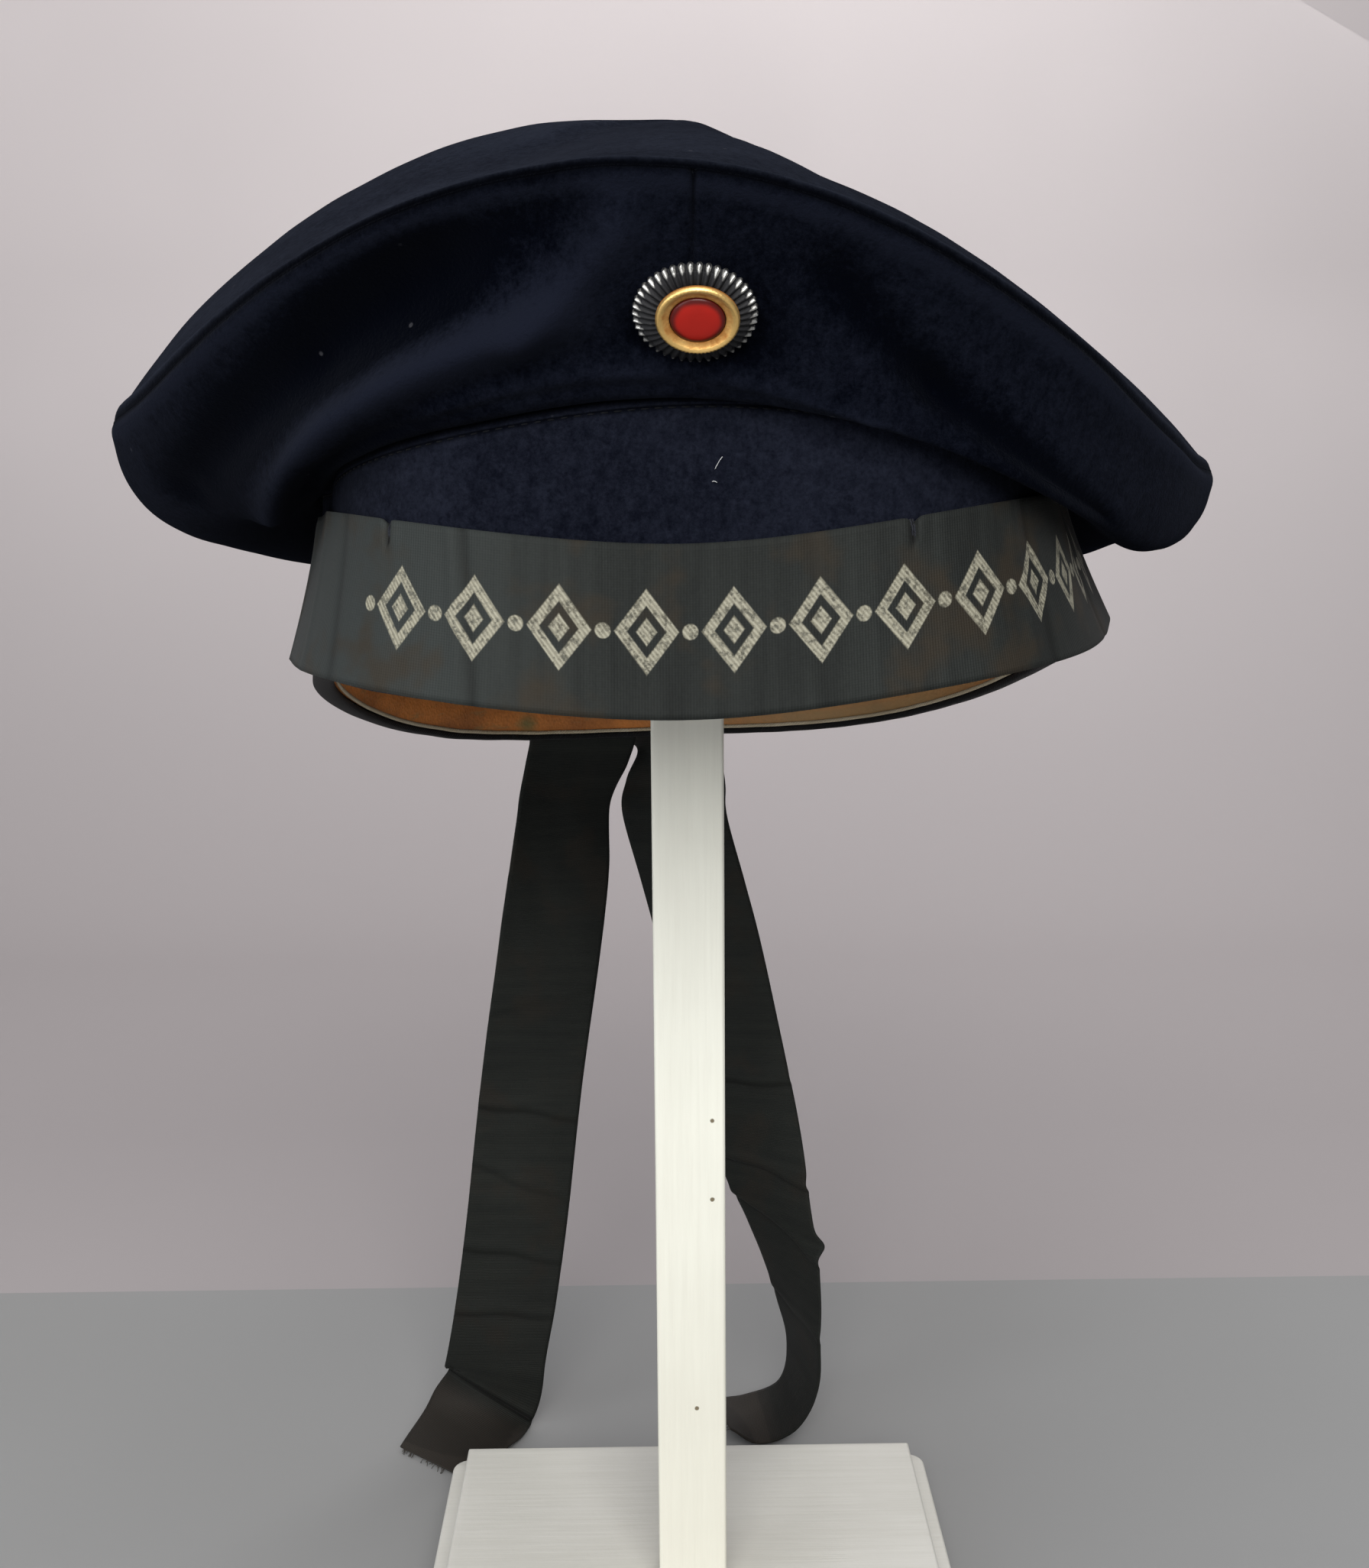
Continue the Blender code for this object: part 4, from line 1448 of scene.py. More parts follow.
    def build(self) -> None:
        """Make the disc and the two panels."""
        panel, disc = self.levels()
        closed = np.append(self.azimuths(), 360.0)
        for node, wool, azimuths, levels in (
                ("top_disc", self.lit_disc_wool, closed, disc),
                ("side_panel_right", self.wool, closed[closed <= 180.0], panel),
                ("side_panel_left", self.wool, closed[closed >= 180.0], panel)):
            on_disc = levels is disc
            outer, inner = self.grids(azimuths, levels)
            # Marks: painted shade in the seam grooves, and painted shade and highlight of the
            # folds.
            marks = {"seam": self.shade(outer, on_disc),
                     "fold": self.painted_fold_shading(azimuths, levels, outer)}
            wall(Piece(f"{node}_cloth", Slot.WOOL, wool, (node,)), outer, inner,
                 ends=not on_disc, marks=marks, merge=0.01 if on_disc else 0.0)


@dataclass
class HeadBand:
    """Band round the head, with the stitched line below its seam.

    Rows of the seam's relief and shade hold a distance below it, a half width and a height.
    """

    form: CapForm
    wool: Material
    thread: Material
    azimuth_steps: int = 480
    lower_levels: int = 26
    seam_levels: int = 21
    line_drop: float = 1.6
    stitch: float = 2.3
    seam_relief: Rows = ((0.0, 0.5, -0.6), (0.8, 0.35, 0.30), (1.6, 0.3, -0.45), (2.6, 0.8, 0.22))
    seam_shade: Rows = ((0.0, 0.6, 0.9), (1.6, 0.35, 0.75))
    unevenness: Waves = ((26.0, 21, 0.18), (9.0, 22, 0.05))

    def build(self) -> None:
        """Make the band and its stitches."""
        azimuths = np.linspace(0.0, 360.0, self.azimuth_steps + 1)
        levels = np.concatenate([np.linspace(0.0, 0.9, self.lower_levels)[:-1],
                                 np.linspace(0.9, 1.0, self.seam_levels)])
        azimuth, level = np.meshgrid(azimuths, levels, indexing="ij")
        plain = self.form.plain(azimuth, level)
        normals = self.form.between(self.form.plain_normals, azimuth, level)
        arc = travel(plain, axis=1)
        below = arc[:, -1:] - arc
        height = ripples(plain, self.unevenness) + bumps_at(below, self.seam_relief)
        wall(Piece("head_band_cloth", Slot.WOOL, self.wool, ("head_band",)),
             plain + normals * height[..., None], plain - normals * CLOTH, ends=False,
             marks={"seam": np.clip(bumps_at(below, self.seam_shade), 0.0, 0.95)}, merge=0.005)
        self.stitches()

    def stitches(self) -> None:
        """Make the row of stitches in the line below the seam."""
        azimuths = np.linspace(0.0, 360.0, 1441)
        _, up, out = self.form.band_wall(azimuths)
        seam = self.form.plain(azimuths, np.ones_like(azimuths))
        run_stitches(Piece("band_seam_stitches", Slot.WOOL, self.thread),
                     seam - up * self.line_drop + out * 0.02, out, self.stitch, 0.70, 0.13, -0.10)


@dataclass
class BandTrim:
    """Binding, leather sweatband and the pale tape between them."""

    form: CapForm
    tape: Material
    leather: Material
    linen: Material
    thread: Material
    azimuth_steps: int = 480
    patch_azimuth: float = 208.0
    bleach_azimuth: float = 148.0
    stitch_rise: float = 3.0
    stitch: float = 2.6

    def ring(self, piece: Piece, outline: Sequence[tuple[float, float]], sway: float,
             marks: Marks | None = None) -> None:
        """Sweep a closed outline round the band.

        Args:
            piece: What the ring is.
            outline: Distance out and rise of each point from the rim.
            sway: Unevenness in millimetres.
            marks: Values for each section and point.
        """
        rim, up, out = self.form.band_wall(self.azimuths())
        shift = ripple(rim, 16.0, 31)[:, None] * sway
        grid = np.stack([rim + out * (across + shift * 0.5) + up * (rise + shift)
                         for across, rise in outline], axis=1)
        rows, count = grid.shape[:2]
        faces = [face[1:] + face[:1] for face in loop_faces(rows, count)]
        every = {"along": travel(rim)[:, None] * MM, "across": travel(np.array(outline)) * MM,
                 **(marks or {})}
        piece.make(grid.reshape(-1, 3), faces,
                   {key: np.broadcast_to(values, (rows, count)) for key, values in every.items()})

    def azimuths(self) -> Array:
        """Degrees of the sections, the last at the place of the first."""
        return np.linspace(0.0, 360.0, self.azimuth_steps + 1)

    def binding_outline(self) -> list[tuple[float, float]]:
        """Rounded U section of the binding.

        Returns:
            Distance out and rise of each point.
        """
        outside, inside = GAP + BINDING, -CLOTH - GAP - BINDING
        middle, half = (outside + inside) / 2, (outside - inside) / 2
        outer = [(outside - 0.35, BINDING_LEG), (outside - 0.08, BINDING_LEG - 0.25),
                 (outside, BINDING_LEG - 0.7), (outside + 0.04, 2.6), (outside, 1.2),
                 (outside, 0.3)]
        bend = [(middle + half * math.cos(angle), -GAP - 0.05 - 0.95 * math.sin(angle))
                for angle in np.linspace(0.12, math.pi - 0.12, 12)]
        lip = [(inside, 0.1), (inside + 0.1, BINDING_LIP - 0.1), (inside + 0.4, BINDING_LIP),
               (inside + BINDING, BINDING_LIP - 0.1), (inside + BINDING, -GAP), (GAP, -GAP),
               (GAP, BINDING_LEG - 0.1)]
        return outer + bend + lip

    def build(self) -> None:
        """Make the binding, its stitches, the sweatband and the tape."""
        self.ring(Piece("rim_binding_tape", Slot.BINDING, self.tape, ("rim_binding",)),
                  self.binding_outline(), 0.10)
        face = -CLOTH - GAP
        back = face - LEATHER
        low, high = BINDING_LIP + GAP, SWEATBAND_RISE
        outline = [(face, low + 0.2), (face, high - 0.3), (face - 0.3, high), (back + 0.4, high)]
        outline += [(back + 0.12 * math.sin(rise * 0.9), rise)
                    for rise in np.linspace(high, low, 26)]
        turn = self.azimuths()[:, None]
        rise = np.array([point[1] for point in outline])
        away = np.hypot((turn - self.patch_azimuth) / 2.0, (rise - 3.6) / 3.0)
        bleach = clamp(1.4 - np.abs(turn - self.bleach_azimuth) / 30.0) * 0.75
        self.ring(Piece("sweatband_leather", Slot.LEATHER, self.leather, ("sweatband",)),
                  outline, 0.12,
                  {"patch": clamp(1.25 - away), "bleach": bleach * clamp(1.6 - rise / 6.0)})
        tape = [(back + 0.1, 0.75), (back - 0.22, 0.85), (back - 0.34, 1.25), (back - 0.22, 1.7),
                (back + 0.1, 1.8)]
        self.ring(Piece("sweatband_edge_tape", Slot.LEATHER, self.linen), tape, 0.08)
        rim, up, out = self.form.band_wall(self.azimuths())
        line = rim + up * self.stitch_rise + out * (GAP + BINDING + 0.05)
        run_stitches(Piece("binding_stitches", Slot.BINDING, self.thread), line, out,
                     self.stitch, 0.6, 0.17, 0.06)


@dataclass
class Ribbon:
    """Ribbon round the band and its two free ends."""

    form: CapForm
    tally_silk: Material
    plain_silk: Material
    thread: Material
    fray_thread: Material
    loose_threads: int = 46
    azimuth_steps: int = 900
    across_steps: int = 26
    station_steps: int = 64
    tacks: tuple[float, ...] = (-31.0, 21.5)
    tack_reach: float = 0.28
    tack_from: float = 0.83
    tack_depth: float = 0.90
    crease_slant: float = 1.6
    creases: Rows = (
        (-23.0, 0.5, 0.55), (-21.6, 0.5, -0.45), (-46.0, 0.9, 0.45), (-38.5, 0.7, -0.35),
        (-9.0, 0.8, 0.25), (12.0, 0.8, -0.30), (34.0, 0.9, 0.45), (36.4, 0.6, -0.40),
        (55.0, 1.2, -0.5), (-70.0, 1.3, 0.6))
    left_creases: Rows = (
        (98.6, 4.0, 0.8), (77.0, 12.0, 0.4), (55.0, 5.0, 0.5), (36.4, 2.0, 0.4),
        (132.0, -7.0, 0.2), (168.0, 6.0, 0.15))
    right_creases: Rows = (
        (106.5, 0.0, 1.0), (79.8, 6.0, 1.1), (61.3, 14.0, 0.6), (34.0, 4.0, 0.3),
        (136.0, 5.0, 0.2))
    kink_height: float = 61.0
    kink_reach: float = 2.2
    left_fold: float = 11.0
    right_fold: float = 13.2

    def lines(self, azimuths: Array, share: Array) -> tuple[Array, Array]:
        """Inner face of the ribbon round the band.

        Args:
            azimuths: Degrees of the rows.
            share: Place across the ribbon, from 0 at its lower edge to 1.

        Returns:
            Grid of points, and the outward direction of each row.
        """
        rim, up, out = self.form.band_wall(azimuths)
        lift = self.form.section("lift", azimuths)[:, None]
        flare = self.form.section("flare", azimuths)[:, None]
        lower = rim + up * lift + out * (2 * GAP + BINDING + flare)
        ease = GAP + RIBBON_EASE + flare * RIBBON_BOW
        middle = rim + up * (lift + RIBBON_WIDTH / 2) + out * ease
        upper = rim + up * (lift + RIBBON_WIDTH) + out * GAP
        s = share[None, :, None]
        grid = (lower[:, None] * (s - 0.5) * (s - 1.0) * 2.0
                + middle[:, None] * s * (1.0 - s) * 4.0 + upper[:, None] * s * (s - 0.5) * 2.0)
        return grid, out

    def tally(self) -> None:
        """Make the ribbon round the band."""
        close = np.array([-0.7, -0.5, -0.3, -0.2, -0.1, 0.0, 0.1, 0.2, 0.3, 0.5, 0.7])
        azimuths = np.unique(np.round(np.concatenate(
            [np.linspace(-180.0, 180.0, self.azimuth_steps + 1)]
            + [azimuth + close for azimuth in self.tacks]), 4))
        share = np.linspace(0.0, 1.0, self.across_steps)
        grid, out = self.lines(azimuths, share)
        turn = azimuths[:, None]
        shade_and_darkening = 0.0 * turn * share
        height = ripple(grid, 30.0, 41) * 0.22
        for azimuth, width, size in self.creases:
            bend = turn - azimuth + (share - 0.5) * self.crease_slant
            height += bump_at(bend, width, size) * (0.35 + 0.65 * share)
            # Painted shade in the valley creases.
            shade_and_darkening += bump_at(bend, width, max(-size, 0.0))
        dip = 0.0 * turn
        for azimuth in self.tacks:
            pinch = bump_at(turn - azimuth, self.tack_reach)
            low = clamp((share - self.tack_from) / 0.05)
            raised = bump_at(np.abs(turn - azimuth) - 0.9, 0.5, 0.35)
            height += (raised - self.tack_depth * pinch) * low
            # Painted shade in the dimple at each tack.
            shade_and_darkening += pinch * low
            dip += bump_at(turn - azimuth, 0.5)
        height = np.clip(height, -0.45, 0.9)
        _, up, _ = self.form.band_wall(azimuths)
        grid = grid - up[:, None] * (dip * 1.1 * share ** 8)[..., None]
        outer = grid + out[:, None] * (RIBBON + height)[..., None]
        steps = travel(outer[:, self.across_steps // 2])
        self.sheet("tally_ribbon", self.tally_silk, outer, outer - out[:, None] * RIBBON_SHEET,
                   steps - steps[len(steps) // 2], {"shade_and_darkening": shade_and_darkening})
        rows = [int(np.argmin(np.abs(azimuths - azimuth))) for azimuth in self.tacks]
        self.tack_threads(outer[rows, -1])

    def sheet(self, node: str, silk: Material, outer: Array, inner: Array,
              along: Array, marks: Marks) -> None:
        """Make a length of ribbon.

        Args:
            node: Solid that it stands for.
            silk: Material.
            outer: Grid of the outer face, from the ribbon's one edge to the other.
            inner: Grid of the inner face.
            along: Distance along the ribbon of each row.
            marks: Values for the grid, with the painted shade and darkening on it from 0 up.
        """
        across = np.linspace(-0.5, 0.5, self.across_steps) * RIBBON_WIDTH
        every = {**marks, "shade_and_darkening": np.clip(marks["shade_and_darkening"], 0.0, 0.9), "along": along[:, None] * MM,
                 "across": across * MM}
        item = wall(Piece(f"{node}_silk", Slot.RIBBON, silk, (node,)), outer, inner,
                    marks=every)

    def tack_threads(self, tops: Sequence[Array]) -> None:
        """Make the small crossed stitches that hold the ribbon's upper edge.

        Args:
            tops: Point of the edge at each tack.
        """
        strands = Strands(6)
        shape = np.linspace(0.0, 1.0, 7)[:, None]
        for azimuth, top in zip(self.tacks, tops):
            _, up, away = (part[0] for part in self.form.band_wall(np.array([azimuth])))
            side = unit(np.cross(up, away))
            for lean, drop in ((-0.25, 3.4), (0.2, 3.9)):
                strands.add(top + up * 0.7 - away * 0.6 + side * lean
                            - up * shape * (drop + 0.7) + side * shape * 0.25
                            + away * 0.80 * np.sin(clamp(shape * 1.15) * math.pi), 0.18)
        strands.make(Piece("tally_tack_stitches", Slot.RIBBON, self.thread))

    def back_y(self, x: Array) -> Array:
        """Place of the ribbon's lower edge at the back of the band.

        Args:
            x: Places to the right of the middle.

        Returns:
            Distance behind the post's axis at each.
        """
        grid, out = self.lines(np.arange(0.0, 360.0, 1.0), np.array([0.0]))
        outer = grid[:, 0] + out * RIBBON
        behind = outer[outer[:, 1] > 0.0]
        order = np.argsort(behind[:, 0])
        return np.interp(x, behind[order, 0], behind[order, 1])

    def streamer(self, side: str, table: Sequence[Sequence[float]], creases: Rows, fold: float,
                 lap: float, seed: int) -> None:
        """Make one free end.

        Args:
            side: Left or right.
            table: Stations from the band to the table.
            creases: Height, fall towards the right edge and depth of each pressed crease.
            fold: Number of the station where the end is folded over.
            lap: Distance that the end's left half stands off to lap over the other end.
            seed: Picks its unevenness.
        """
        stations = smooth_rows(table, self.station_steps)
        share = np.linspace(-0.5, 0.5, self.across_steps)
        across = share * RIBBON_WIDTH
        turn, bank = (np.radians(stations[:, column])[:, None] for column in (3, 4))
        x = stations[:, 0][:, None] + across * np.cos(bank) * np.cos(turn)
        y = stations[:, 1][:, None] - across * np.cos(bank) * np.sin(turn)
        z = np.maximum(stations[:, 2][:, None] - across * np.sin(bank), 0.8)
        rim = float(self.form.section("rim_z", np.array([self.form.back_seam]))[0])
        y = y + (self.back_y(x) + GAP + RIBBON / 2 - y) * clamp((z - rim + 4.0) / 10.0)
        shares = np.interp(share, LAP_PLACES, LAP_SHARES)
        y = y + lap * shares * clamp((z - rim + 14.0) / 10.0)
        points = np.stack([x, y, z], axis=-1)
        face = self.facing(points)
        free = clamp((rim - z) / 20.0) * np.clip((z - 1.5) / 12.0, 0.15, 1.0)
        wave = ripple(points * np.array([1.0, 1.0, 0.7]), 38.0, seed) * 0.9
        wave += ripple(points, 13.0, seed + 1) * 0.18
        # Darker towards the table on the lower part of the end.
        shade_and_darkening = 0.30 * clamp((75.0 - z) / 60.0) * (z > 2.0)
        if side == "right":
            corner = clamp(2.0 * share) ** 2
            points[..., 0] += corner * bump_at(z - self.kink_height, 2.6, self.kink_reach)
        for height, fall, depth in creases:
            crease = z - height + share * fall + 0.5 * np.sin(share * 9.0 + height)
            line = np.exp(-np.abs(crease) ** 1.5) * (0.75 - 0.5 * share)
            wave += depth * (bump_at(crease - 2.0, 2.2, 0.9) - 0.9 * line)
            # Painted shade along each crease line.
            shade_and_darkening += line * min(depth, 1.0) * 0.75
        number = np.arange(len(stations))[:, None] / self.station_steps
        turned = bump_at(number - fold, 0.07) * (side == "left")
        points = points + face * (wave * free - 0.7 * turned)[..., None]
        points[..., 2] = np.maximum(points[..., 2], 0.75)
        half = self.facing(points) * RIBBON_SHEET / 2
        # The folded end gets painted shade too.
        self.sheet(f"streamer_{side}", self.plain_silk, points + half, points - half,
                   travel(points[:, self.across_steps // 2]),
                   {"shade_and_darkening": shade_and_darkening + turned * 0.8, "rubbed": clamp((number - fold - 0.1) / 0.5)})
        self.fray(side, points[-1], unit(points[-1] - points[-4]), seed)

    @staticmethod
    def facing(points: Array) -> Array:
        """Unit vectors square to a grid of points."""
        return unit(np.cross(np.gradient(points, axis=0), np.gradient(points, axis=1)))

    def fray(self, side: str, end: Array, onward: Array, seed: int) -> None:
        """Make the loose threads at the cut end of a streamer.

        Args:
            side: Left or right.
            end: Points of the cut end.
            onward: Direction of the ribbon at each of them.
            seed: Picks the threads.
        """
        source = np.random.default_rng(seed)
        across = unit(end[-1] - end[0])
        strands = Strands(4)
        shape = np.linspace(0.0, 1.0, 5)[:, None]
        for _ in range(self.loose_threads):
            place = source.uniform(0.0, 1.0) * (len(end) - 1)
            length = source.uniform(0.8, 2.6)
            lean = source.normal(0.0, 0.35)
            path = (at_distance(place, np.arange(len(end)), end) - onward[0] * 0.6
                    + shape * length * (onward[0] + across * lean)
                    + across * 0.25 * np.sin(shape * 4.0 + lean * 9.0))
            path[:, 2] = np.maximum(path[:, 2], 0.25)
            strands.add(path, 0.09)
        strands.make(Piece(f"streamer_{side}_fray", Slot.RIBBON, self.fray_thread))

    def build(self) -> None:
        """Make the ribbon and both its ends."""
        self.tally()
        self.streamer("left", STREAMER_LEFT, self.left_creases, self.left_fold, 0.0, 51)
        self.streamer("right", STREAMER_RIGHT, self.right_creases, self.right_fold, LAP, 61)


@dataclass
class Cockade:
    """Oval badge: ribbed backing, ring that slopes inwards, and domed centre."""

    form: CapForm
    silver: Material
    gilt: Material
    enamel: Material
    across: float = 10.2
    up: float = 9.3
    ribs: int = 42
    rim: float = 0.9
    dome: float = 1.5
    ring_outer: float = 6.8
    ring_inner: float = 4.6
    dome_radius: float = 4.45
    dome_rise: float = 1.15
    squeeze: float = 0.92
    offset: tuple[float, float] = (0.45, 0.45)
    steps: int = 10
    beads: int = 64
    axes: tuple[Array, ...] = ()

    def place(self, angle: Array, across: Array, up: Array,
              height: Array) -> Array:
        """Points of ovals parallel to the badge's plane.

        Args:
            angle: Radians round the oval.
            across: Half width.
            up: Half height.
            height: Distance out from the badge's plane.

        Returns:
            Points in millimetres.
        """
        centre, right, upward, out = self.axes
        if across.max() < self.across * 0.9:
            centre = centre + right * self.offset[0] + upward * self.offset[1]
        return (centre + (across * np.cos(angle))[..., None] * right
                + (up * np.sin(angle))[..., None] * upward + height[..., None] * out)

    def build(self) -> None:
        """Make the three pieces."""
        self.axes = self.form.badge_frame(self.across, self.up)
        self.backing()
        self.ring()
        self.centre()

    def lathe(self, piece: Piece, radius: Array, ratio: float, height: Array,
              marks: Marks, closed: bool = False) -> None:
        """Make an oval solid from its section.

        Args:
            piece: What the solid is.
            radius: Half width of each point, rows round by columns along the section.
            ratio: Half height over half width.
            height: Distance out of each point.
            marks: Values for the points.
            closed: Whether the section closes on itself, or runs between two flat faces.
        """
        rows, columns = radius.shape
        height = np.broadcast_to(height, radius.shape)
        points = self.place(round_angles(rows)[:, None], radius, radius * ratio, height)
        starts = [(row * columns, (row + 1) % rows * columns) for row in range(rows)]
        faces = [(here + index, after + index, after + index + 1, here + index + 1)
                 for here, after in starts for index in range(columns - 1)]
        last = columns - 1
        if closed:
            faces += [(here + last, after + last, after, here) for here, after in starts]
        else:
            faces += [tuple(here for here, _ in reversed(starts)),
                      tuple(here + last for here, _ in starts)]
        piece.make(points.reshape(-1, 3), faces,
                   {key: np.broadcast_to(values, radius.shape) for key, values in marks.items()})

    def backing(self) -> None:
        """Make the ribbed plate with its toothed edge."""
        angle = round_angles(self.ribs * self.steps)[:, None]
        rib = (0.5 + 0.5 * np.cos(angle * self.ribs)) ** 0.7
        inner = self.ring_outer / self.across * 0.9
        share = np.concatenate([[1.0, 1.0, 0.995], np.linspace(0.985, inner, 22), [0.3, 0.05]])
        rise = clamp((1.0 - share) / (1.0 - inner))
        tarnish = clamp((rise - 0.12) / 0.30) * 0.75
        height = self.rim + self.dome * np.sin(rise * math.pi / 2) ** 0.9
        height[0], height[1] = 0.0, self.rim - 0.35
        reach = 1.0 - (1.0 - rib) * 0.06 * (share > 0.9)
        depth = 0.55 * (1.0 - rib) * clamp((share - inner + 0.02) * 20)
        depth[:, 0] = 0.0
        # Painted shade on the lower part of the plate, below the ring.
        low = np.clip(-np.sin(angle) - 0.35, 0.0, 0.5)
        self.lathe(Piece("cockade_backing_plate", Slot.SILVER, self.silver,
                         ("cockade_backing",)), share * self.across * reach,
                   self.up / self.across, height - depth,
                   {"hollow": clamp(1.0 - rib + tarnish + low)})

    def ring(self) -> None:
        """Make the ring, with a beaded shoulder outside and a slope down to the centre."""
        middle = (self.ring_inner + self.ring_outer) / 2
        outline = np.array([
            (self.ring_inner, 0.0), (self.ring_outer, 0.0), (self.ring_outer, 0.45),
            (self.ring_outer - 0.12, 0.8), (self.ring_outer - 0.35, 1.0),
            (self.ring_outer - 0.6, 1.02), (middle + 0.40, 0.98), (middle + 0.15, 0.92),
            (middle - 0.05, 0.80), (middle - 0.25, 0.66), (middle - 0.50, 0.54),
            (self.ring_inner + 0.25, 0.46), (self.ring_inner, 0.40), (self.ring_inner, 0.0)])
        hollow = np.array([1, 1, 0.4, 0, 0, 0, 0, 0.1, 0.32, 0.42, 0.46, 0.5, 0.6, 0.8])
        count = 2 * self.beads
        radius = np.tile(outline[:, 0], (count, 1))
        height = self.rim + self.dome + GAP + np.tile(outline[:, 1], (count, 1))
        height[:, 3:6] += 0.07 * np.cos(round_angles(count) * self.beads)[:, None]
        self.lathe(Piece("cockade_ring_gilt", Slot.GILT, self.gilt, ("cockade_ring",)),
                   radius, self.squeeze, height, {"hollow": hollow}, closed=True)

    def centre(self) -> None:
        """Make the domed centre."""
        bend = np.linspace(0.0, math.pi / 2 - 0.03, 16)
        share = np.concatenate([[1.0], np.cos(bend) ** 0.7])
        rise = np.concatenate([[0.0], 0.25 + 0.75 * np.sin(bend)])
        # The hollow mark paints shade round the dome's rim, next to the ring.
        self.lathe(Piece("cockade_dome_enamel", Slot.ENAMEL, self.enamel,
                         ("cockade_dome",)), np.tile(share * self.dome_radius, (96, 1)),
                   self.squeeze, self.rim + self.dome + GAP + rise * self.dome_rise,
                   {"hollow": clamp((share - 0.72) / 0.28)})


@dataclass
class Stand:
    """Square post on a stepped square plate, painted."""

    paint: Material
    shaded_plate_paint: Material
    plate_half: float = 66.5
    ledge: float = 4.5
    step: float = 9.0
    plate_top: float = 15.0
    corner: float = 5.0
    post_half: float = 8.2
    post_corner: float = 0.8
    post_top: float = 356.6
    brow: float = 3.0

    @staticmethod
    def square(half: float, radius: float, steps: int = 6, along: int = 8) -> Array:
        """Outline of a square with round corners.

        Args:
            half: Half the side.
            radius: Corner radius.
            steps: Intervals in a corner.
            along: Intervals along a side.

        Returns:
            Points x, y and a third value that is 1 on the corners.
        """
        corners = []
        for start in np.arange(4) * math.pi / 2:
            turn = start + np.linspace(0.0, math.pi / 2, steps + 1)
            reach, across = (half - radius) * math.sqrt(2), start + math.pi / 4
            corners.append(np.stack([reach * math.cos(across) + radius * np.cos(turn),
                                     reach * math.sin(across) + radius * np.sin(turn)], axis=1))
        points = []
        for corner, following in zip(corners, corners[1:] + corners[:1]):
            run = following[0] - corner[-1]
            points += [(*point, 1.0) for point in corner]
            points += [(*(corner[-1] + run * share), 0.3 * (abs(share - 0.5) > 0.42))
                       for share in np.linspace(0.0, 1.0, along + 1)[1:-1]]
        return np.array(points)

    def loft(self, piece: Piece, levels: Sequence[Triple], half: float, radius: float,
             corner_wear: float) -> None:
        """Stack outlines of a square into a solid.

        Args:
            piece: What the solid is.
            levels: Inset, height and wear of each outline, from the bottom up.
            half: Half the side without inset.
            radius: Corner radius without inset.
            corner_wear: Wear of the paint on the upright corners.
        """
        points, wear = [], []
        for inset, height, rubbed in levels:
            ring = self.square(half - inset, max(radius - inset, 0.25))
            points.append(np.column_stack([ring[:, :2], np.full(len(ring), height)]))
            wear.append(np.maximum(ring[:, 2] * corner_wear, rubbed))
        piece.make(np.concatenate(points), tube_faces(len(points), len(points[0])),
                   {"wear": np.concatenate(wear)})

    @staticmethod
    def rounded(inset: float, height: float, radius: float = 0.9,
                wear: float = 0.9) -> list[Triple]:
        """Levels of a rounded edge where a side meets the face above it.

        Args:
            inset: Inset of the side.
            height: Height of the face.
            radius: Radius of the rounding.
            wear: Wear of the edge.

        Returns:
            Levels from the side to the face.
        """
        return [(inset + radius * (1.0 - math.cos(turn)),
                 height - radius * (1.0 - math.sin(turn)), wear)
                for turn in np.linspace(0.0, math.pi / 2, 5)]

    def build(self) -> None:
        """Make the plate and the post."""
        ledge, step = self.ledge, self.step
        plate = [(0.8, 0.0, 0.3), (0.0, 0.8, 0.4), (0.0, 3.0, 0.0), (0.0, 6.0, 0.0),
                 *self.rounded(0.0, step), (ledge - 0.5, step, 0.2),
                 (ledge - 0.15, step + 0.15, 0.5), (ledge, step + 0.5, 0.5),
                 (ledge, step + 3.0, 0.0), *self.rounded(ledge, self.plate_top)]
        plate += [(ledge + inset, self.plate_top, 0.0) for inset in (2.5, 6.0, 20.0, 40.0)]
        self.loft(Piece("stand_base_painted", Slot.PAINT, self.shaded_plate_paint, ("stand_base",)),
                  plate, self.plate_half, self.corner, 0.15)
        bottom, top, brow = self.plate_top + GAP, self.post_top, self.brow
        post = [(0.0, bottom, 0.6), (0.0, bottom + 1.5, 0.4)]
        post += [(0.0, height, 0.0) for height in np.linspace(bottom + 6.0, top - brow - 6.0, 40)]
        post += [(0.0, top - brow, 0.8), (0.4, top - brow + 0.5, 0.8),
                 (brow - 0.4, top - 0.4, 0.6), (brow, top, 0.5)]
        self.loft(Piece("stand_post_painted", Slot.PAINT, self.paint, ("stand_post",)),
                  post, self.post_half, self.post_corner, 0.8)


@dataclass
class Lint:
    """Few pale fibres caught on the band, each with azimuth, level, length and lean."""

    form: CapForm
    fibre: Material
    places: tuple[tuple[float, float, float, float], ...] = (
        (2.2, 0.77, 2.4, 58.0), (1.9, 0.73, 0.9, -15.0))

    def build(self) -> None:
        """Make the fibres."""
        strands = Strands(5)
        shape = np.linspace(0.0, 1.0, 7)[:, None]
        for azimuth, level, length, lean in self.places:
            row = np.array([azimuth])
            _, up, out = (part[0] for part in self.form.band_wall(row))
            turn = math.radians(lean)
            onward = up * math.sin(turn) + unit(np.cross(up, out)) * math.cos(turn)
            strands.add(self.form.plain(row, np.array([level]))[0]
                        + out * (0.25 + 0.3 * np.sin(shape * math.pi))
                        + onward * shape * length + up * 0.15 * np.sin(shape * 3.0), 0.06)
        strands.make(Piece("band_lint", Slot.WOOL, self.fibre))


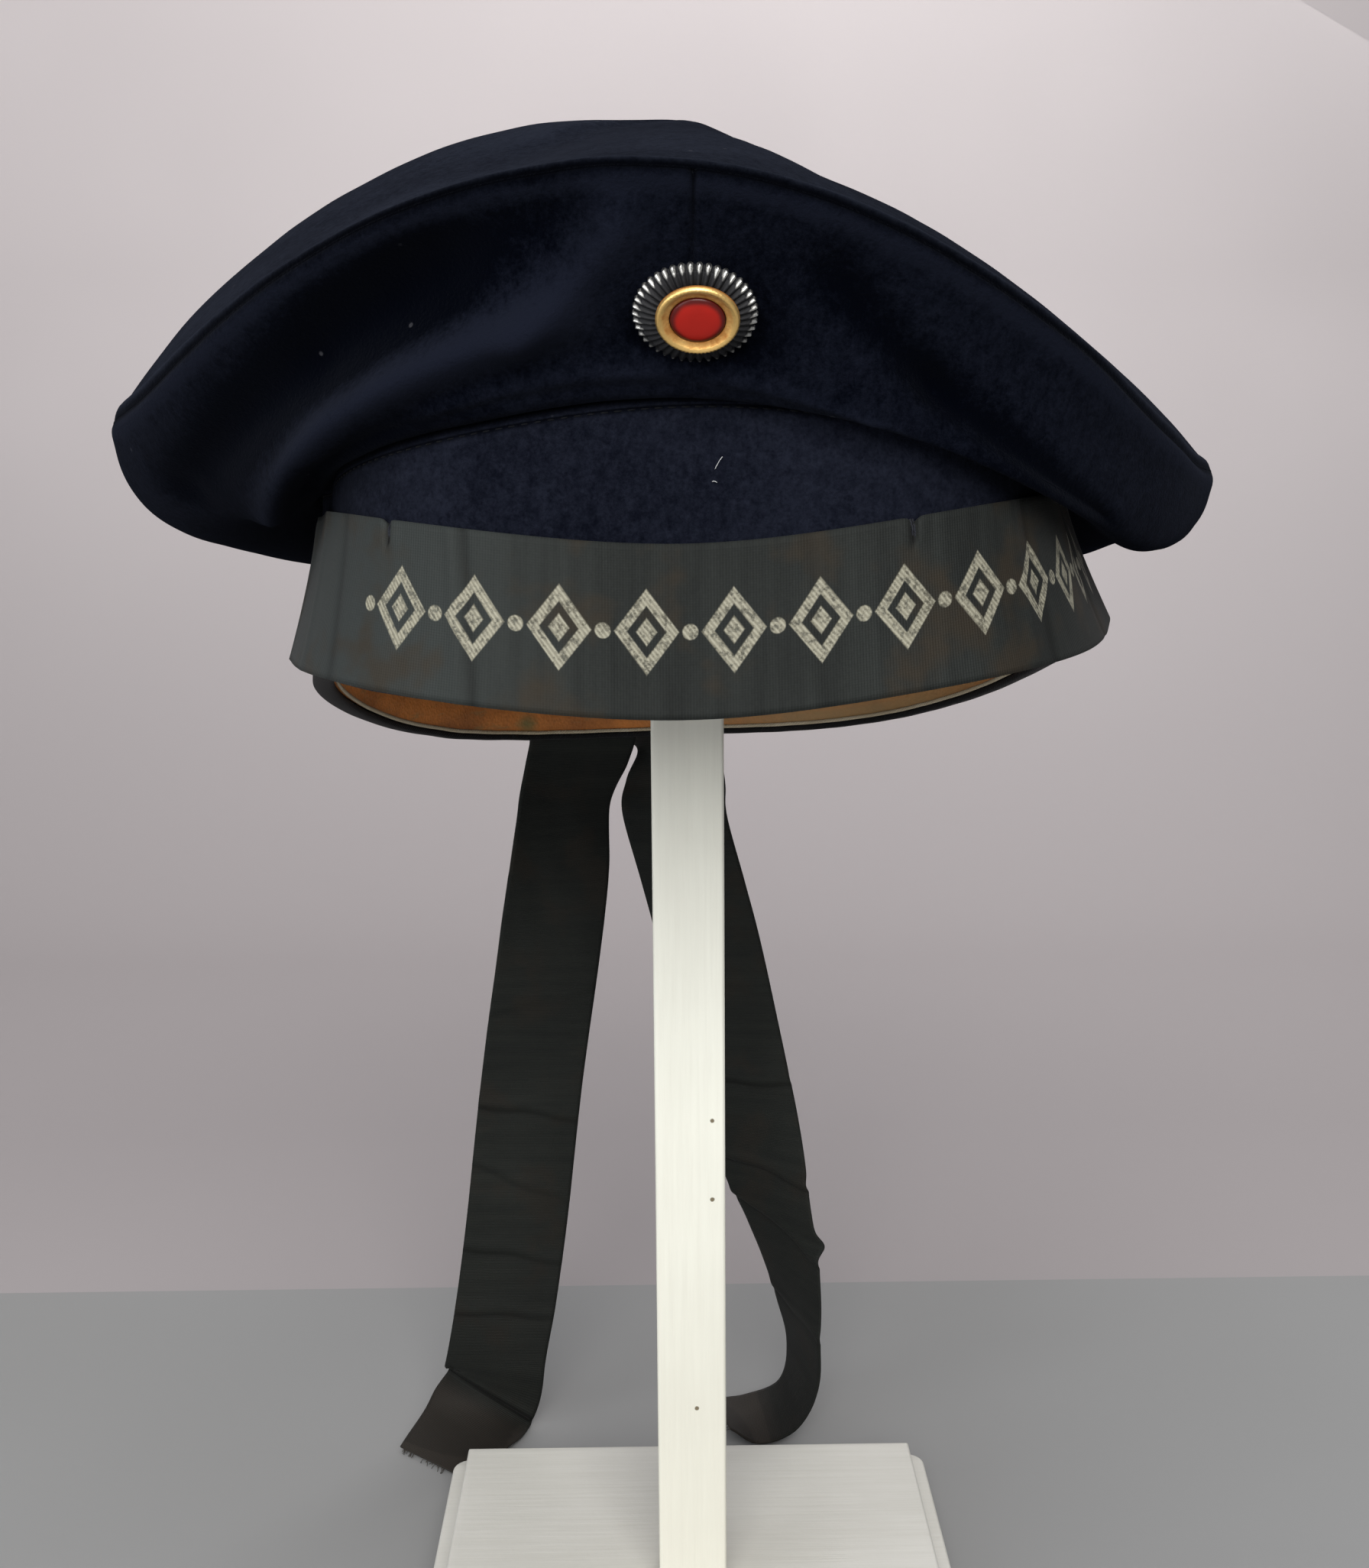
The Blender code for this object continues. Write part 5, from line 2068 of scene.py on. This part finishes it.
@dataclass
class Studio:
    """Camera, soft lights, pale floor and the paper sweep behind it."""

    floor: Material
    paper: Material
    camera_place: Triple = (-0.0058, -0.414, 0.290)
    pitch: float = 10.2
    yaw: float = 0.72
    roll: float = 0.42
    lens: float = 42.1
    table_back: float = 0.195
    sweep_start: float = 0.62
    sweep_radius: float = 0.43
    table_front: float = -1.25
    half_width: float = 1.6
    sweep_top: float = 2.6

    def camera(self) -> None:
        """Make the camera at the photograph's viewing angle."""
        pitch, yaw, roll = (math.radians(value) for value in (self.pitch, self.yaw, self.roll))
        forward = Vector((math.sin(yaw) * math.cos(pitch), math.cos(yaw) * math.cos(pitch),
                          -math.sin(pitch)))
        level = forward.cross(Vector((0.0, 0.0, 1.0))).normalized()
        upright = level.cross(forward)
        right = level * math.cos(roll) - upright * math.sin(roll)
        up = upright * math.cos(roll) + level * math.sin(roll)
        data = bpy.data.cameras.new("photo_camera")
        data.lens = self.lens
        data.sensor_width = 36.0
        data.clip_start = 0.01
        data.clip_end = 20.0
        item = bpy.data.objects.new("photo_camera", data)
        item.matrix_world = Matrix.Translation(self.camera_place) @ Matrix(
            (right, up, -forward)).transposed().to_4x4()
        bpy.context.scene.collection.objects.link(item)
        bpy.context.scene.camera = item

    def light(self, name: str, place: Triple, size: float, watts: float,
              colour: Colour = (1.0, 1.0, 1.0), target: Triple = (0.0, 0.0, 0.22)) -> None:
        """Add a soft square light.

        Args:
            name: Name of the light.
            place: Position in metres.
            size: Side in metres.
            watts: Power.
            colour: Colour of the light.
            target: Point that it faces.
        """
        data = bpy.data.lights.new(name, "AREA")
        data.shape = "SQUARE"
        data.size = size
        data.energy = watts
        data.color = colour
        item = bpy.data.objects.new(name, data)
        aim = Vector(target) - Vector(place)
        item.location = place
        item.rotation_euler = aim.to_track_quat("-Z", "Y").to_euler()
        item.visible_camera = False
        bpy.context.scene.collection.objects.link(item)

    def surround(self) -> None:
        """Make the table top and the paper, which lies behind it and rises further back."""
        turns = np.linspace(0.0, math.pi / 2.0, 33)
        rising = [(self.sweep_start + self.sweep_radius * math.sin(turn),
                   self.sweep_radius * (1.0 - math.cos(turn))) for turn in turns]
        table = [(self.table_front, 0.0), (self.table_back, 0.0)]
        sweep = [(self.table_back, 0.0), *rising, (rising[-1][0], self.sweep_top)]
        for name, material, profile in (("studio_floor", self.floor, table),
                                        ("studio_sweep", self.paper, sweep)):
            corners = [(side * self.half_width, y, z) for y, z in profile for side in (-1, 1)]
            faces = [(2 * row, 2 * row + 1, 2 * row + 3, 2 * row + 2)
                     for row in range(len(profile) - 1)]
            mesh = bpy.data.meshes.new(name)
            mesh.from_pydata(corners, [], faces)
            mesh.shade_smooth()
            mesh.materials.append(material)
            item = bpy.data.objects.new(name, mesh)
            bpy.context.scene.collection.objects.link(item)

    def build(self) -> None:
        """Make everything round the cap."""
        self.camera()
        self.light("key_light", (0.03, -1.30, 0.94), size=1.0, watts=23.5,
                   colour=(1.0, 0.985, 0.96))
        self.light("fill_light", (-0.9, -0.8, 0.4), size=0.9, watts=6.0,
                   colour=(0.95, 0.97, 1.0))
        self.light("top_light", (-0.1, -0.20, 1.3), size=0.8, watts=5.0)
        self.light("back_light", (0.35, 0.95, 0.85), size=0.8, watts=5.5)
        self.light("paper_light", (-0.02, 0.35, 1.10), size=0.6, watts=8.0,
                   colour=(1.0, 0.985, 0.97), target=(-0.02, 1.20, 1.10))
        world = bpy.data.worlds.new("studio_air")
        world.use_nodes = True
        background = world.node_tree.nodes["Background"]
        background.inputs["Color"].default_value = (0.80, 0.84, 0.90, 1.0)
        background.inputs["Strength"].default_value = 0.30
        bpy.context.scene.world = world
        bpy.context.scene.view_settings.view_transform = "Standard"
        self.surround()


def main() -> None:
    """Build every sub-assembly, the camera and the lights."""
    logging.basicConfig(level=logging.INFO, format="%(message)s")
    form = CapForm()
    table = PlainSurface(colour=(0.275, 0.277, 0.277), other=(0.25, 0.25, 0.248))
    # The paper darkens towards its foot with painted shade.
    paper = PlainSurface(colour=(0.455, 0.420, 0.424), other=(0.42, 0.387, 0.391), foot_shade=0.78)
    Studio(table.build("table_top"), paper.build("sweep_paper")).build()
    # The same navy wool in three tones, standing in for light and shade: the panels' copy darkest,
    # the disc top and band copies lighter.
    lit_disc_wool = Wool(dark=(0.0008, 0.0011, 0.0027), light=(0.0105, 0.0125, 0.0195))
    Crown(form, Wool().build("wool_cloth"), lit_disc_wool.build("lit_disc_cloth")).build()
    # Lighter copy of the wool for the band, painted light.
    lit_band_wool = Wool(dark=(0.0022, 0.0027, 0.0054), light=(0.0125, 0.0145, 0.0235))
    seam_thread = Thread(colour=(0.0015, 0.0018, 0.0028), light=(0.0045, 0.0052, 0.0075))
    HeadBand(form, lit_band_wool.build("band_cloth"), seam_thread.build("seam_thread")).build()
    black_thread = Thread().build("black_thread")
    linen = Tape(colour=(0.45, 0.38, 0.26), worn=(0.60, 0.54, 0.42))
    BandTrim(form, Tape().build("black_tape"), Leather().build("sweat_leather"),
             linen.build("linen_tape"), black_thread).build()
    tally_silk = RibbedSilk(ornament_from=-0.060, ornament_to=0.120, pale_from=-0.03)
    plain_silk = RibbedSilk(dark=(0.0062, 0.0074, 0.0068), light=(0.0165, 0.0180, 0.0150),
                            rust=(0.0150, 0.0125, 0.0095))
    loose_thread = Thread(colour=(0.020, 0.018, 0.015), light=(0.075, 0.066, 0.054))
    Ribbon(form, tally_silk.build("tally_silk"), plain_silk.build("streamer_silk"),
           black_thread, loose_thread.build("loose_thread")).build()
    silver = TarnishedMetal(bright=(0.60, 0.59, 0.56), dull=(0.020, 0.020, 0.022))
    gilt = TarnishedMetal(bright=(1.0, 0.66, 0.24), dull=(0.42, 0.17, 0.035), rough=0.42)
    Cockade(form, silver.build("silvered_plate"), gilt.build("gilt_ring"),
            Enamel().build("red_enamel_gloss")).build()
    post = PaintedWood(specks=((0.0052, -0.0082, 0.1373), (0.0051, -0.0082, 0.1179),
                               (0.0012, -0.0082, 0.0650)), foot_darkening=0.30)
    # The plate's paint is a darker copy of the post's paint: painted shade that tones down the
    # plate's lit upper faces.
    plate = PaintedWood(paint=(0.64, 0.63, 0.585), shade=(0.57, 0.56, 0.51),
                        grain_stretch=(0.035, 1.0, 1.0))
    Stand(post.build("post_paint"), plate.build("shaded_plate_paint")).build()
    lint = Thread(colour=(0.45, 0.45, 0.45), light=(0.7, 0.7, 0.7))
    Lint(form, lint.build("lint_fibre")).build()


if __name__ == "__main__":
    main()
